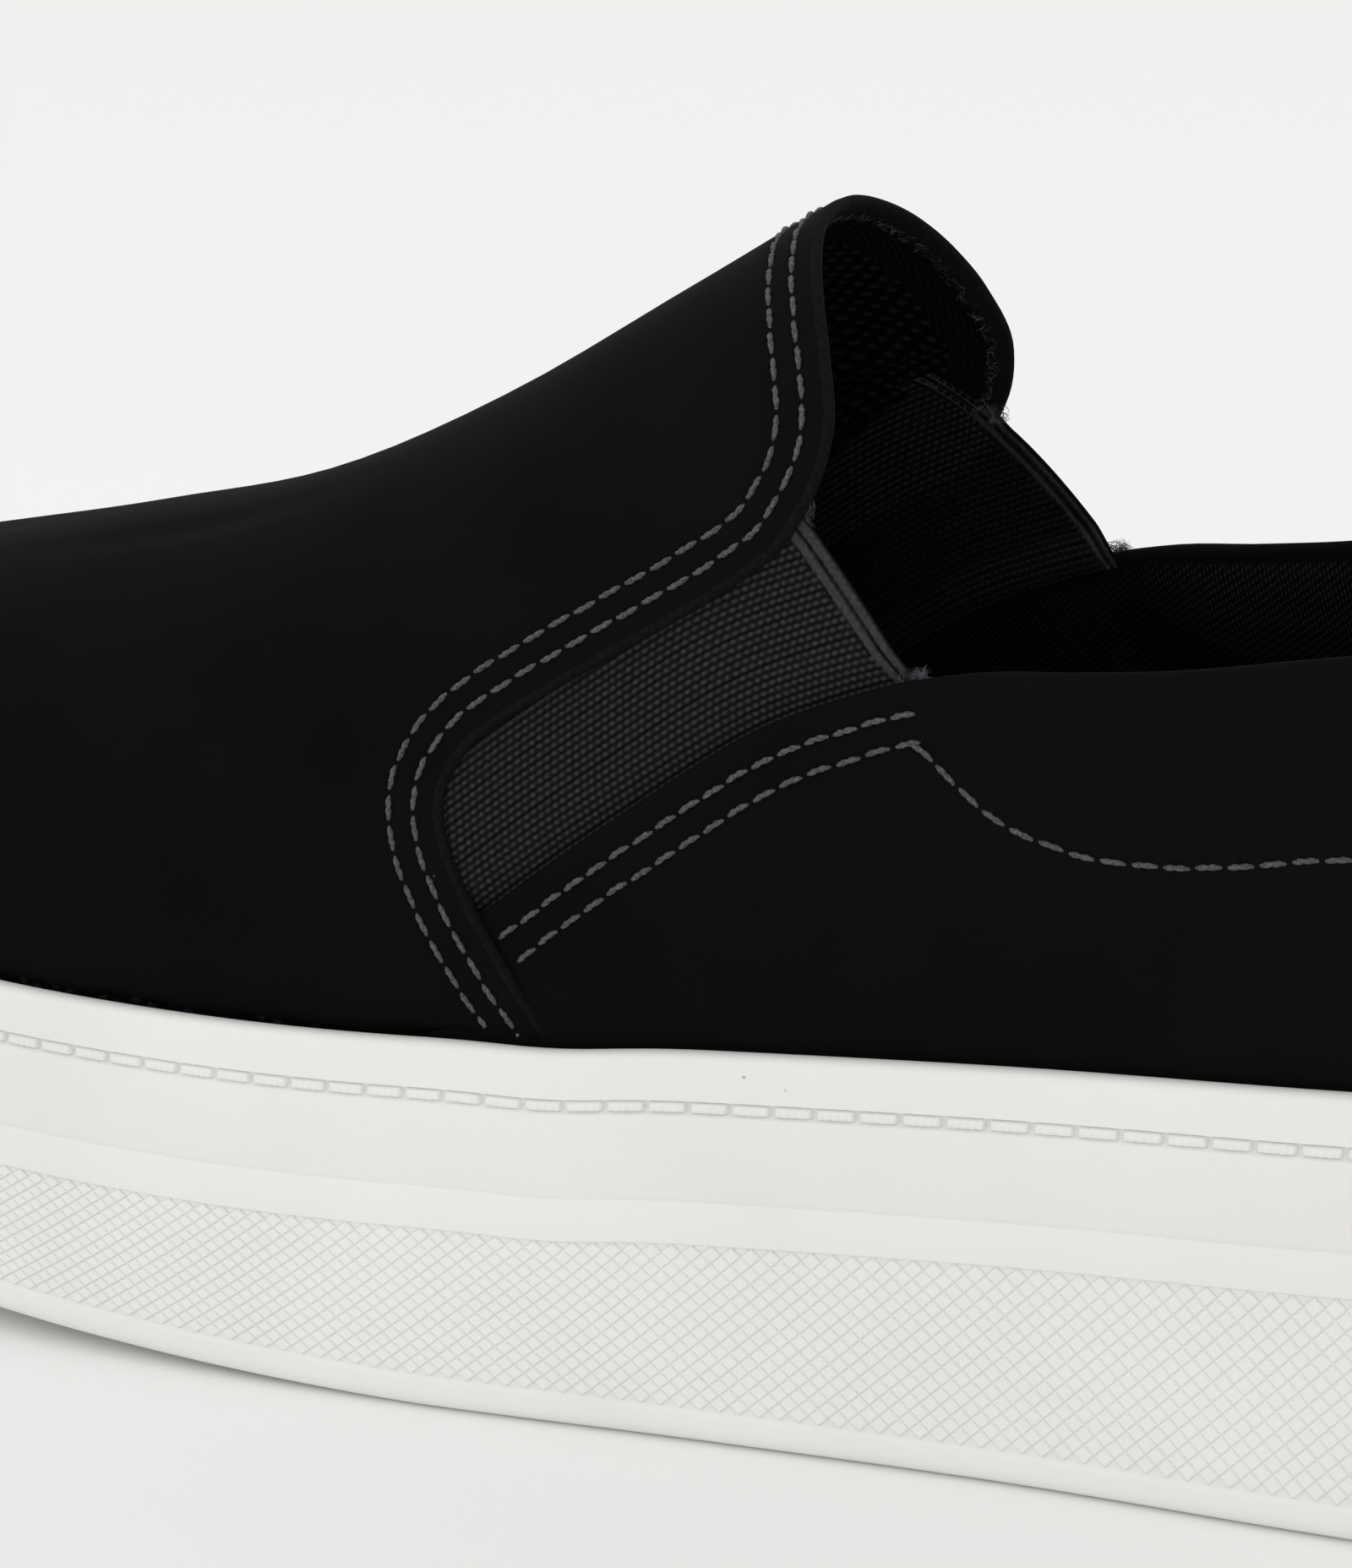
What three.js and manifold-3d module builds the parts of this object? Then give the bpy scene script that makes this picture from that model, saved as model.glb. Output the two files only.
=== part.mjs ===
// A left slip-on sneaker on a thick platform cupsole, in millimetres, +Z up.
// While it is modelled, x runs from the back of the heel to the toe, y points to the
// outer side of the foot, and the floor is z = 0. The last lines move the origin to the
// middle of the shoe's box, on the floor.
import * as THREE from "three";
import { mergeVertices } from "three/addons/utils/BufferGeometryUtils.js";
import Module from "manifold-3d";

// Driving dimensions
const LENGTH = 262;            // sole, heel to toe
const BALL_WIDTH = 92;         // width that the outline table is a share of
const HEEL_HEIGHT = 44.5;      // lip of the cupsole above the floor at the heel
const WEDGE_DROP = 13.5;       // what the sole loses in thickness from heel to toe
const LIP_SPRING = 11;         // how far the lip turns up at the toe
const TOE_SPRING = 10;         // how far the tread turns up at the toe
const LEAN = 2.9;              // how far the sidewall leans in at the lip
const LIP_WIDTH = 2.5;
const CUP_DEPTH = 10;
const RIM_HEIGHT = 3.5;        // smooth rim under the diamond band
const RIM_ROUND = 2.2;
const BAND_TOP = 18.4;         // top of the diamond band below the lip
const BAND_DEPTH = 0.4;
const STEP_LINE = 14.3;        // moulded step below the lip
const STEP_DEPTH = 0.4;
const STITCH_LINE = 5.3;       // middle of the mock-stitch groove below the lip
const GROOVE_WIDTH = 1.6;
const GROOVE_DEPTH = 0.6;
const EDGE = 0.3;              // height that a moulded step takes
const ARCH_RISE = 1.4;         // hollow of the tread under the waist
const WAIST_FROM = 0.34;       // where that hollow starts and ends along the length
const WAIST_TO = 0.45;
const SLOT_PITCH = 9;
const SLOT_WIDTH = 2.4;
const SLOT_DEPTH = 1.5;
const SLOT_MARGIN = 9;         // tread left whole inside the outline
const GAP = 0.3;               // between pieces that meet
const SKIRT_OUT = 0.5;         // the upper's foot swells by this inside the lip
const WALL = 2.0;              // quarter, with its lining
const OVERLAY = 1.0;           // the vamp stands this proud of the quarter
const VAMP_LINING = 1.2;       // vamp wall inside the shared surface
const COLLAR_PAD_IN = 3.2;
const COLLAR_PAD_OUT = 0.7;
const TOP_LINE = 135;          // height that the ribs of the heel aim for
const INSTEP_HEIGHT = 117;     // ridge of the vamp at the flap
const TOE_HEIGHT = 67.5;       // ridge of the vamp at the toe
const GORE_SINK = 0.3;         // gore face below the quarter's
const GORE_THICK = 1.3;
const GORE_GAP = 0.5;
const INSOLE_THICK = 4.5;
const INSOLE_ROUND = 0.8;

// Outline of the sole: place along the length, half widths as shares of the ball width
const OUTLINE = [
  { along: 0.0, outer: 0.0, inner: 0.0 },
  { along: 0.03, outer: 0.195, inner: 0.195 },
  { along: 0.1, outer: 0.325, inner: 0.325 },
  { along: 0.21, outer: 0.357, inner: 0.35 },
  { along: 0.32, outer: 0.373, inner: 0.335 },
  { along: 0.435, outer: 0.408, inner: 0.335 },
  { along: 0.55, outer: 0.448, inner: 0.385 },
  { along: 0.645, outer: 0.463, inner: 0.47 },
  { along: 0.74, outer: 0.455, inner: 0.53 },
  { along: 0.835, outer: 0.405, inner: 0.515 },
  { along: 0.915, outer: 0.315, inner: 0.445 },
  { along: 0.97, outer: 0.155, inner: 0.335 },
  { along: 1.0, outer: -0.09, inner: 0.09 },
];

// Ribs of the last, one row a section. A rib is a Bezier curve from the lip to the ridge:
// low and high are how far its handles reach out, as shares of the way from ridge to foot,
// rise is the lower handle's height as a share of the cup sole's height at the heel, and
// ridge is the height of its top as a share of INSTEP_HEIGHT.
const RIBS = [
  { along: 0.0, low: 1.04, rise: 0.45, high: 0.96, ridge: TOP_LINE / INSTEP_HEIGHT },
  { along: 0.1, low: 1.08, rise: 0.49, high: 1.0, ridge: TOP_LINE / INSTEP_HEIGHT },
  { along: 0.22, low: 1.16, rise: 0.54, high: 1.06, ridge: 1.145 },
  { along: 0.32, low: 1.19, rise: 0.61, high: 1.02, ridge: 1.077 },
  { along: 0.4, low: 1.22, rise: 0.83, high: 0.8, ridge: 1.0 },
  { along: 0.48, low: 1.18, rise: 0.855, high: 0.62, ridge: 0.896 },
  { along: 0.56, low: 1.15, rise: 0.74, high: 0.56, ridge: 0.791 },
  { along: 0.65, low: 1.12, rise: 0.61, high: 0.56, ridge: 0.7 },
  { along: 0.75, low: 1.09, rise: 0.495, high: 0.6, ridge: 0.648 },
  { along: 0.85, low: 1.06, rise: 0.405, high: 0.68, ridge: 0.611 },
  { along: 0.93, low: 1.04, rise: 0.36, high: 0.72, ridge: 0.589 },
  { along: 1.0, low: 1.03, rise: 0.315, high: 0.74, ridge: TOE_HEIGHT / INSTEP_HEIGHT },
];

// Rear edge of the vamp, up the ribs from the lip to the top of the flap
const VAMP_EDGE = [
  { rib: 0.0, along: 0.4893 },
  { rib: 0.075, along: 0.5061 },
  { rib: 0.127, along: 0.5168 },
  { rib: 0.175, along: 0.5248 },
  { rib: 0.221, along: 0.5294 },
  { rib: 0.247, along: 0.5294 },
  { rib: 0.277, along: 0.5248 },
  { rib: 0.3, along: 0.5168 },
  { rib: 0.319, along: 0.5042 },
  { rib: 0.355, along: 0.4721 },
  { rib: 0.379, along: 0.4481 },
  { rib: 0.403, along: 0.4279 },
  { rib: 0.428, along: 0.412 },
  { rib: 0.476, along: 0.3989 },
  { rib: 0.542, along: 0.3931 },
  { rib: 0.629, along: 0.3996 },
  { rib: 0.7, along: 0.4074 },
  { rib: 0.78, along: 0.4155 },
  { rib: 0.88, along: 0.4235 },
  { rib: 1.0, along: 0.4275 },
];

// Top edge of the quarter, from the heel to where it runs under the vamp, and the seam
// that closes the padded collar below it, as a share of that edge's height
const QUARTER_EDGE = [
  { along: 0.0, rib: 0.425, seam: 0.6 },
  { along: 0.08, rib: 0.412, seam: 0.61 },
  { along: 0.15, rib: 0.388, seam: 0.61 },
  { along: 0.209, rib: 0.37, seam: 0.6 },
  { along: 0.265, rib: 0.359, seam: 0.58 },
  { along: 0.3, rib: 0.357, seam: 0.6 },
  { along: 0.33, rib: 0.353, seam: 0.68 },
  { along: 0.357, rib: 0.336, seam: 0.85 },
  { along: 0.39, rib: 0.303, seam: 0.92 },
  { along: 0.41, rib: 0.282, seam: 0.92 },
  { along: 0.454, rib: 0.219, seam: 0.92 },
  { along: 0.487, rib: 0.17, seam: 0.92 },
  { along: 0.516, rib: 0.118, seam: 0.92 },
  { along: 0.54, rib: 0.07, seam: 0.92 },
];
const COLLAR_END = 0.36;       // the padding ends here, as a share of the length
const COLLAR_FADE = 0.05;
const TUCK_END = 0.538;        // the quarter runs this far under the vamp
const GORE_FRONT = 0.135;      // rib share where the gore's front corner lies
const GORE_BACK = 0.468;       // rib share where the gore meets the flap
const QUARTER_CORNER = 0.357;  // place of the quarter's front top corner
const GORE_TIP = 0.5125;       // place of the gore's front corner on the quarter's edge

// Mesh steps
const RING_STEPS = 72;
const ACROSS_STEPS = 6;
const VAMP_STEPS = 40;
const VAMP_ROWS = [
  0, 0.04, 0.1, 0.14, 0.175, 0.21, 0.24, 0.27, 0.3, 0.33, 0.355, 0.38, 0.41, 0.44, 0.476,
  0.52, 0.58, 0.66, 0.76, 0.88, 1,
];
const QUARTER_STEPS = 56;
const QUARTER_ROWS = [0, 0.16, 0.5, 0.84, 1];
const COLLAR_ROWS = 4;
const GORE_STEPS = 12;
const GORE_ROWS = 5;
const TINY = 1e-3;
const SLIVER = 0.01;           // cuts leave nothing thinner than this

const wasm = await Module();
wasm.setup();

// A smooth curve through a table's rows, with slopes worked out from the neighbours
function smoothTable(xs, ys, x) {
  const last = xs.length - 1;
  let i = 0;
  while (i < last - 1 && x > xs[i + 1]) i += 1;
  const span = (k) => xs[k + 1] - xs[k];
  const rise = (k) => (ys[k + 1] - ys[k]) / span(k);
  const slope = (k) => {
    if (k <= 0) return rise(0);
    if (k >= last) return rise(last - 1);
    return (rise(k - 1) * span(k) + rise(k) * span(k - 1)) / (span(k - 1) + span(k));
  };
  const h = span(i);
  const t = (x - xs[i]) / h;
  const a = (2 * t ** 3 - 3 * t * t + 1) * ys[i] + (t ** 3 - 2 * t * t + t) * h * slope(i);
  const b = (-2 * t ** 3 + 3 * t * t) * ys[i + 1] + (t ** 3 - t * t) * h * slope(i + 1);
  return a + b;
}

function column(table, place, name) {
  const places = table.map((row) => row[place]);
  const values = table.map((row) => row[name]);
  return (x) => smoothTable(places, values, x);
}

function smoothStep(t) {
  const c = Math.min(1, Math.max(0, t));
  return c * c * (3 - 2 * c);
}

// The outline is a ring: angle 0 is the heel, pi the toe, and positive angles lie on the
// outer side. The table is wrapped so that heel and toe stay round.
function ringTable() {
  const angle = (row) => Math.acos(1 - 2 * row.along);
  const outer = OUTLINE.map((row) => ({ angle: angle(row), half: row.outer }));
  const inner = OUTLINE.map((row) => ({ angle: -angle(row), half: -row.inner }));
  const ring = [...inner.reverse().slice(0, -1), ...outer];
  const turn = 2 * Math.PI;
  const before = ring.slice(0, -1).slice(-3);
  const after = ring.slice(1, 4);
  return [
    ...before.map((row) => ({ angle: row.angle - turn, half: row.half })),
    ...ring,
    ...after.map((row) => ({ angle: row.angle + turn, half: row.half })),
  ];
}
const halfWidth = column(ringTable(), "angle", "half");

function outline(angle, inset) {
  const place = (a) => [LENGTH * (1 - Math.cos(a)) / 2, BALL_WIDTH * halfWidth(a)];
  const wrapped = angle > Math.PI ? angle - 2 * Math.PI : angle;
  const [x, y] = place(wrapped);
  const [x0, y0] = place(wrapped - TINY);
  const [x1, y1] = place(wrapped + TINY);
  const length = Math.hypot(x1 - x0, y1 - y0);
  return [x + inset * (y1 - y0) / length, y - inset * (x1 - x0) / length];
}

const angleAt = (x) => Math.acos(1 - 2 * Math.min(1, Math.max(0, x / LENGTH)));

// Heights along the sole
const SPRING_START = 0.534;
const LIP_SPRING_START = 0.55;
const rising = (x, start, power) => Math.max(0, (x / LENGTH - start) / (1 - start)) ** power;
const treadZ = (x) => TOE_SPRING * rising(x, SPRING_START, 1.6);
const lipZ = (x) => HEEL_HEIGHT - WEDGE_DROP * x / LENGTH + LIP_SPRING * rising(x, LIP_SPRING_START, 1.7);
const cupZ = (x) => lipZ(x) - CUP_DEPTH;

// Ridge of the last: the ribs lean in to it, and it stops short of heel and toe
const RIDGE_BACK = 0.14;
const RIDGE_FRONT = 0.88;
const RIBS_UPRIGHT_FROM = 0.23;
const RIBS_UPRIGHT_TO = 0.64;
const RIDGE_SWING = 4.5;
function ridgePlace(x) {
  const s = x / LENGTH;
  let along = s;
  if (s < RIBS_UPRIGHT_FROM) {
    along = RIDGE_BACK + (RIBS_UPRIGHT_FROM - RIDGE_BACK) * (s / RIBS_UPRIGHT_FROM) ** 2.2;
  } else if (s > RIBS_UPRIGHT_TO) {
    const t = (s - RIBS_UPRIGHT_TO) / (1 - RIBS_UPRIGHT_TO);
    along = s - (1 - RIDGE_FRONT) * t ** 2.2;
  }
  const y = 0.5 - RIDGE_SWING * rising(x, 0.5, 1.5);
  return [along * LENGTH, y];
}

const FOOT_INSET = LEAN + LIP_WIDTH + GAP + SKIRT_OUT;
const ribLow = column(RIBS, "along", "low");
const ribRise = column(RIBS, "along", "rise");
const ribHigh = column(RIBS, "along", "high");
const ribRidge = column(RIBS, "along", "ridge");

// Point on the shared surface of quarter, vamp and gores: up is 0 at the lip, 1 at the ridge
function last(angle, up) {
  const a = angle > Math.PI ? angle - 2 * Math.PI : angle;
  const x = LENGTH * (1 - Math.cos(a)) / 2;
  const s = x / LENGTH;
  const [bx, by] = outline(a, FOOT_INSET);
  const [rx, ry] = ridgePlace(x);
  const foot = lipZ(bx);
  const top = INSTEP_HEIGHT * ribRidge(s);
  const b0 = (1 - up) ** 3;
  const b1 = 3 * up * (1 - up) ** 2;
  const b2 = 3 * up * up * (1 - up);
  const b3 = up ** 3;
  const out = b0 + b1 * ribLow(s) + b2 * ribHigh(s);
  const z = b0 * foot + b1 * (foot + HEEL_HEIGHT * ribRise(s)) + (b2 + b3) * top;
  return new THREE.Vector3(rx + (bx - rx) * out, ry + (by - ry) * out, z);
}

function lastNormal(angle, up) {
  if (up > 1 - TINY) {
    const x = LENGTH * (1 - Math.cos(angle)) / 2;
    const step = 0.01 * LENGTH;
    const x0 = Math.max(0, x - step);
    const x1 = Math.min(LENGTH, x + step);
    const run = ridgePlace(x1)[0] - ridgePlace(x0)[0];
    const climb = INSTEP_HEIGHT * (ribRidge(x1 / LENGTH) - ribRidge(x0 / LENGTH));
    return new THREE.Vector3(-climb, 0, run).normalize();
  }
  const along = last(angle + TINY, up).sub(last(angle - TINY, up));
  const rise = last(angle, up + TINY).sub(last(angle, Math.max(0, up - TINY)));
  return rise.cross(along).normalize();
}

const offLast = (angle, up, distance) =>
  last(angle, up).addScaledVector(lastNormal(angle, up), distance);

function geometryOf(positions, indices) {
  const geometry = new THREE.BufferGeometry();
  geometry.setAttribute("position", new THREE.Float32BufferAttribute(positions, 3));
  geometry.setIndex(indices);
  return mergeVertices(geometry, TINY);
}

// A wall between two grids of points, closed round its edges. A folded wall meets itself
// along its last row, so it has no edge there.
function wallSolid(columns, rows, outside, inside, folded) {
  const positions = [];
  const indices = [];
  for (const face of [outside, inside]) {
    for (let i = 0; i <= columns; i += 1) {
      for (let j = 0; j <= rows; j += 1) {
        const p = face(i, j);
        positions.push(p.x, p.y, p.z);
      }
    }
  }
  const count = (columns + 1) * (rows + 1);
  const id = (i, j, side) => side * count + i * (rows + 1) + j;
  const quad = (a, b, c, d) => indices.push(a, b, c, a, c, d);
  for (let i = 0; i < columns; i += 1) {
    for (let j = 0; j < rows; j += 1) {
      quad(id(i, j, 0), id(i, j + 1, 0), id(i + 1, j + 1, 0), id(i + 1, j, 0));
      quad(id(i, j, 1), id(i + 1, j, 1), id(i + 1, j + 1, 1), id(i, j + 1, 1));
    }
    quad(id(i, 0, 0), id(i + 1, 0, 0), id(i + 1, 0, 1), id(i, 0, 1));
    if (!folded) quad(id(i, rows, 0), id(i, rows, 1), id(i + 1, rows, 1), id(i + 1, rows, 0));
  }
  for (let j = 0; j < rows; j += 1) {
    quad(id(0, j, 0), id(0, j, 1), id(0, j + 1, 1), id(0, j + 1, 0));
    quad(id(columns, j, 0), id(columns, j + 1, 0), id(columns, j + 1, 1), id(columns, j, 1));
  }
  return geometryOf(positions, withoutFlat(indices, positions));
}

// Triangles with two corners in one place are dropped
function withoutFlat(indices, positions) {
  const key = (k) => [0, 1, 2].map((c) => Math.round(positions[3 * k + c] / TINY)).join(" ");
  const kept = [];
  for (let k = 0; k < indices.length; k += 3) {
    const corners = indices.slice(k, k + 3).map(key);
    if (new Set(corners).size === 3) kept.push(...indices.slice(k, k + 3));
  }
  return kept;
}

function toManifold(geometry) {
  return new wasm.Manifold(new wasm.Mesh({
    numProp: 3,
    vertProperties: new Float32Array(geometry.attributes.position.array),
    triVerts: new Uint32Array(geometry.index.array),
  }));
}

function fromManifold(solid) {
  const mesh = solid.getMesh();
  const geometry = new THREE.BufferGeometry();
  geometry.setAttribute("position", new THREE.Float32BufferAttribute(mesh.vertProperties, 3));
  geometry.setIndex([...mesh.triVerts]);
  return geometry;
}

// Vamp and flap: one wall from its rear edge round the toe and back, folded on the ridge
const vampEdge = column(VAMP_EDGE, "rib", "along");
const skirtIn = (angle, inset, z) => {
  const [x, y] = outline(angle, inset);
  return new THREE.Vector3(x, y, z(x));
};
const upperFootZ = (x) => cupZ(x) + GAP;
const swell = (up) => 1 - smoothStep(up / 0.06);

function vamp() {
  const rows = VAMP_ROWS.length;
  const angleOf = (i, up) => {
    const edge = angleAt(LENGTH * vampEdge(up));
    return edge + (2 * Math.PI - 2 * edge) * i / VAMP_STEPS;
  };
  const face = (distance, footInset) => (i, j) => {
    const up = VAMP_ROWS[Math.max(0, j - 1)];
    const angle = angleOf(i, up);
    if (j <= 1) return skirtIn(angle, footInset, j === 0 ? upperFootZ : lipZ);
    return offLast(angle, up, distance(up));
  };
  const outside = face((up) => OVERLAY + (SKIRT_OUT - OVERLAY) * swell(up), FOOT_INSET - SKIRT_OUT);
  const inside = face(() => -VAMP_LINING, FOOT_INSET + VAMP_LINING);
  return wallSolid(VAMP_STEPS, rows, outside, inside, true);
}

// Quarters and heel: one wall from under the vamp on the inner side, round the heel, to
// under the vamp on the outer side, thicker in the padded collar
const quarterEdge = column(QUARTER_EDGE, "along", "rib");
const collarSeam = column(QUARTER_EDGE, "along", "seam");

function quarter() {
  const rows = QUARTER_ROWS.length + COLLAR_ROWS;
  const reach = angleAt(LENGTH * TUCK_END);
  const face = (side) => (i, j) => {
    const angle = reach * (2 * i / QUARTER_STEPS - 1);
    const s = (1 - Math.cos(angle)) / 2;
    const outer = side > 0;
    if (j <= 1) {
      const inset = outer ? FOOT_INSET - SKIRT_OUT : FOOT_INSET + WALL;
      return skirtIn(angle, inset, j === 0 ? upperFootZ : lipZ);
    }
    const top = quarterEdge(s);
    const seam = top * collarSeam(s);
    const k = j - 1;
    const below = k < QUARTER_ROWS.length;
    const share = below ? 0 : (k - QUARTER_ROWS.length + 1) / COLLAR_ROWS;
    const up = below ? seam * QUARTER_ROWS[k] : seam + (top - seam) * share;
    const fade = smoothStep((COLLAR_END - s) / COLLAR_FADE);
    const pad = fade * Math.sin(Math.PI * share) ** 0.8;
    const distance = outer ? SKIRT_OUT * swell(up) + COLLAR_PAD_OUT * pad : -WALL - COLLAR_PAD_IN * pad;
    return offLast(angle, up, distance);
  };
  return wallSolid(QUARTER_STEPS, rows, face(1), face(-1), false);
}

function upper() {
  return fromManifold(toManifold(quarter()).add(toManifold(vamp())));
}

// A place on the last moved sideways over its surface, away from the edge that runs
// through it. Places are shares along the length and up the rib.
function moved(side, place, next, distance) {
  const at = (s, up) => last(side * angleAt(LENGTH * s), up);
  const here = at(place.s, place.up);
  const alongS = at(place.s + TINY, place.up).sub(here).divideScalar(TINY);
  const alongUp = at(place.s, place.up + TINY).sub(here).divideScalar(TINY);
  const edge = at(next.s, next.up).sub(here).normalize();
  const normal = alongS.clone().cross(alongUp).normalize();
  const way = normal.cross(edge).normalize().multiplyScalar(distance);
  const ss = alongS.dot(alongS);
  const su = alongS.dot(alongUp);
  const uu = alongUp.dot(alongUp);
  const det = ss * uu - su * su;
  const ws = way.dot(alongS);
  const wu = way.dot(alongUp);
  return { s: place.s + (uu * ws - su * wu) / det, up: place.up + (ss * wu - su * ws) / det };
}

// Elastic panel in the window between vamp and quarter, on one side of the foot
function gore(side) {
  const vampSide = (t) => {
    const up = GORE_FRONT + (GORE_BACK - GORE_FRONT) * t;
    return { s: vampEdge(up), up };
  };
  const quarterSide = (t) => {
    const s = GORE_TIP + (QUARTER_CORNER - GORE_TIP) * t;
    return { s, up: quarterEdge(s) };
  };
  const face = (distance) => (i, j) => {
    const t = i / GORE_STEPS;
    const a = moved(side, vampSide(t), vampSide(t + TINY), GORE_GAP);
    const b = moved(side, quarterSide(t), quarterSide(t + TINY), -GORE_GAP);
    const k = j / GORE_ROWS;
    const s = b.s + (a.s - b.s) * k;
    const up = b.up + (a.up - b.up) * k;
    return offLast(side * angleAt(LENGTH * s), up, distance);
  };
  const outside = face(-GORE_SINK);
  const inside = face(-GORE_SINK - GORE_THICK);
  const [first, second] = side > 0 ? [inside, outside] : [outside, inside];
  return wallSolid(GORE_STEPS, GORE_ROWS, first, second, false);
}

// A solid of stacked rings, closed across its first and last ring by strips
function ringStack(rings, bottomZ, topZ) {
  const positions = [];
  const indices = [];
  const quad = (a, b, c, d) => indices.push(a, b, c, a, c, d);
  const angle = (k) => 2 * Math.PI * k / RING_STEPS;
  for (const ring of rings) {
    for (let k = 0; k < RING_STEPS; k += 1) {
      const [x, y] = outline(angle(k), ring.inset(outline(angle(k), 0)[0]));
      positions.push(x, y, ring.z(x));
    }
  }
  const id = (ring, k) => ring * RING_STEPS + (k % RING_STEPS);
  for (let r = 0; r < rings.length - 1; r += 1) {
    for (let k = 0; k < RING_STEPS; k += 1) {
      quad(id(r, k), id(r + 1, k), id(r + 1, k + 1), id(r, k + 1));
    }
  }
  const cap = (ring, z, up) => {
    const half = RING_STEPS / 2;
    const node = (k, m) => {
      if (k === 0 || k === half || m === 0) return id(ring, k);
      if (m === ACROSS_STEPS) return id(ring, RING_STEPS - k);
      return first + (k - 1) * (ACROSS_STEPS - 1) + m - 1;
    };
    const first = positions.length / 3;
    for (let k = 1; k < half; k += 1) {
      for (let m = 1; m < ACROSS_STEPS; m += 1) {
        const t = m / ACROSS_STEPS;
        const a = id(ring, k) * 3;
        const b = id(ring, RING_STEPS - k) * 3;
        const x = positions[a] * (1 - t) + positions[b] * t;
        positions.push(x, positions[a + 1] * (1 - t) + positions[b + 1] * t, z(x, 2 * t - 1));
      }
    }
    for (let k = 0; k < half; k += 1) {
      for (let m = 0; m < ACROSS_STEPS; m += 1) {
        const corners = [node(k, m), node(k, m + 1), node(k + 1, m + 1), node(k + 1, m)];
        const ring4 = corners.filter((c, n) => corners.indexOf(c) === n);
        if (up) ring4.reverse();
        for (let n = 1; n < ring4.length - 1; n += 1) indices.push(ring4[0], ring4[n + 1], ring4[n]);
      }
    }
  };
  cap(0, bottomZ, false);
  cap(rings.length - 1, topZ, true);
  return geometryOf(positions, indices);
}

// Cupsole: the side from the tread up to the lip, over it and down into the cup
function cupsole() {
  const leaning = (z) => (x) => LEAN * (z(x) - treadZ(x)) / (lipZ(x) - treadZ(x));
  const side = (z, depth) => ({ z, inset: (x) => leaning(z)(x) + depth });
  const fromTread = (height) => (x) => treadZ(x) + height;
  const fromLip = (drop) => (x) => lipZ(x) - drop;
  const rings = [];
  const roundSteps = 3;
  for (let k = 0; k <= roundSteps; k += 1) {
    const turn = Math.PI / 2 * k / roundSteps;
    rings.push(side(fromTread(RIM_ROUND * (1 - Math.cos(turn))), RIM_ROUND * (1 - Math.sin(turn))));
  }
  rings.push(side(fromTread(RIM_HEIGHT), 0));
  rings.push(side(fromTread(RIM_HEIGHT + EDGE), BAND_DEPTH));
  rings.push(side(fromLip(BAND_TOP + EDGE), BAND_DEPTH));
  rings.push(side(fromLip(BAND_TOP), 0));
  rings.push(side(fromLip(STEP_LINE), 0));
  rings.push(side(fromLip(STEP_LINE - EDGE), STEP_DEPTH));
  rings.push(side(fromLip(STITCH_LINE + GROOVE_WIDTH / 2), STEP_DEPTH));
  rings.push(side(fromLip(STITCH_LINE + EDGE), STEP_DEPTH + GROOVE_DEPTH));
  rings.push(side(fromLip(STITCH_LINE - EDGE), STEP_DEPTH + GROOVE_DEPTH));
  rings.push(side(fromLip(STITCH_LINE - GROOVE_WIDTH / 2), STEP_DEPTH));
  rings.push(side(fromLip(LIP_WIDTH / 2), STEP_DEPTH));
  rings.push(side(fromLip(LIP_WIDTH / 7), STEP_DEPTH + LIP_WIDTH / 8));
  rings.push(side(fromLip(0), LIP_WIDTH / 2));
  rings.push(side(fromLip(EDGE), LIP_WIDTH));
  rings.push({ z: cupZ, inset: () => LEAN + LIP_WIDTH });
  const hollow = (x) => {
    const share = (x / LENGTH - WAIST_FROM) / (WAIST_TO - WAIST_FROM);
    return ARCH_RISE * Math.sin(Math.PI * Math.min(1, Math.max(0, share))) ** 2;
  };
  const underside = (x, across) => treadZ(x) + hollow(x) * (1 - across ** 4);
  const body = toManifold(ringStack(rings, underside, cupZ));
  return fromManifold(body.subtract(treadSlots()).simplify(SLIVER));
}

// Straight slots across the tread, in two groups that leave the waist plain
function treadSlots() {
  let slots = null;
  const groups = [{ from: 0.07, to: 0.33 }, { from: 0.51, to: 0.9 }];
  for (const group of groups) {
    const count = Math.floor((group.to - group.from) * LENGTH / SLOT_PITCH);
    for (let k = 0; k <= count; k += 1) {
      const x = group.from * LENGTH + k * SLOT_PITCH;
      const outer = outline(angleAt(x), 0)[1] - SLOT_MARGIN;
      const inner = outline(-angleAt(x), 0)[1] + SLOT_MARGIN;
      const box = new THREE.BoxGeometry(SLOT_WIDTH, outer - inner, 2 * SLOT_DEPTH);
      box.translate(x, (outer + inner) / 2, treadZ(x));
      box.deleteAttribute("normal");
      box.deleteAttribute("uv");
      const slot = toManifold(mergeVertices(box, TINY));
      slots = slots ? slots.add(slot) : slot;
    }
  }
  return slots;
}

// Insole: lies on the cup's floor, inside the upper's foot
function insole() {
  const inset = FOOT_INSET + WALL + GAP;
  const bottom = (x) => cupZ(x) + GAP;
  const top = (x) => bottom(x) + INSOLE_THICK;
  const rings = [
    { z: bottom, inset: () => inset },
    { z: (x) => top(x) - INSOLE_ROUND, inset: () => inset },
    { z: top, inset: () => inset + INSOLE_ROUND },
  ];
  return ringStack(rings, bottom, top);
}

const materials = {
  rubber: new THREE.MeshStandardMaterial({ color: "#e9e8e4", roughness: 0.6, metalness: 0 }),
  nubuck: new THREE.MeshStandardMaterial({ color: "#141416", roughness: 0.9, metalness: 0 }),
  elastic: new THREE.MeshStandardMaterial({ color: "#2b2b2e", roughness: 0.85, metalness: 0 }),
  footbed: new THREE.MeshStandardMaterial({ color: "#1c1c20", roughness: 0.95, metalness: 0 }),
};

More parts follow.
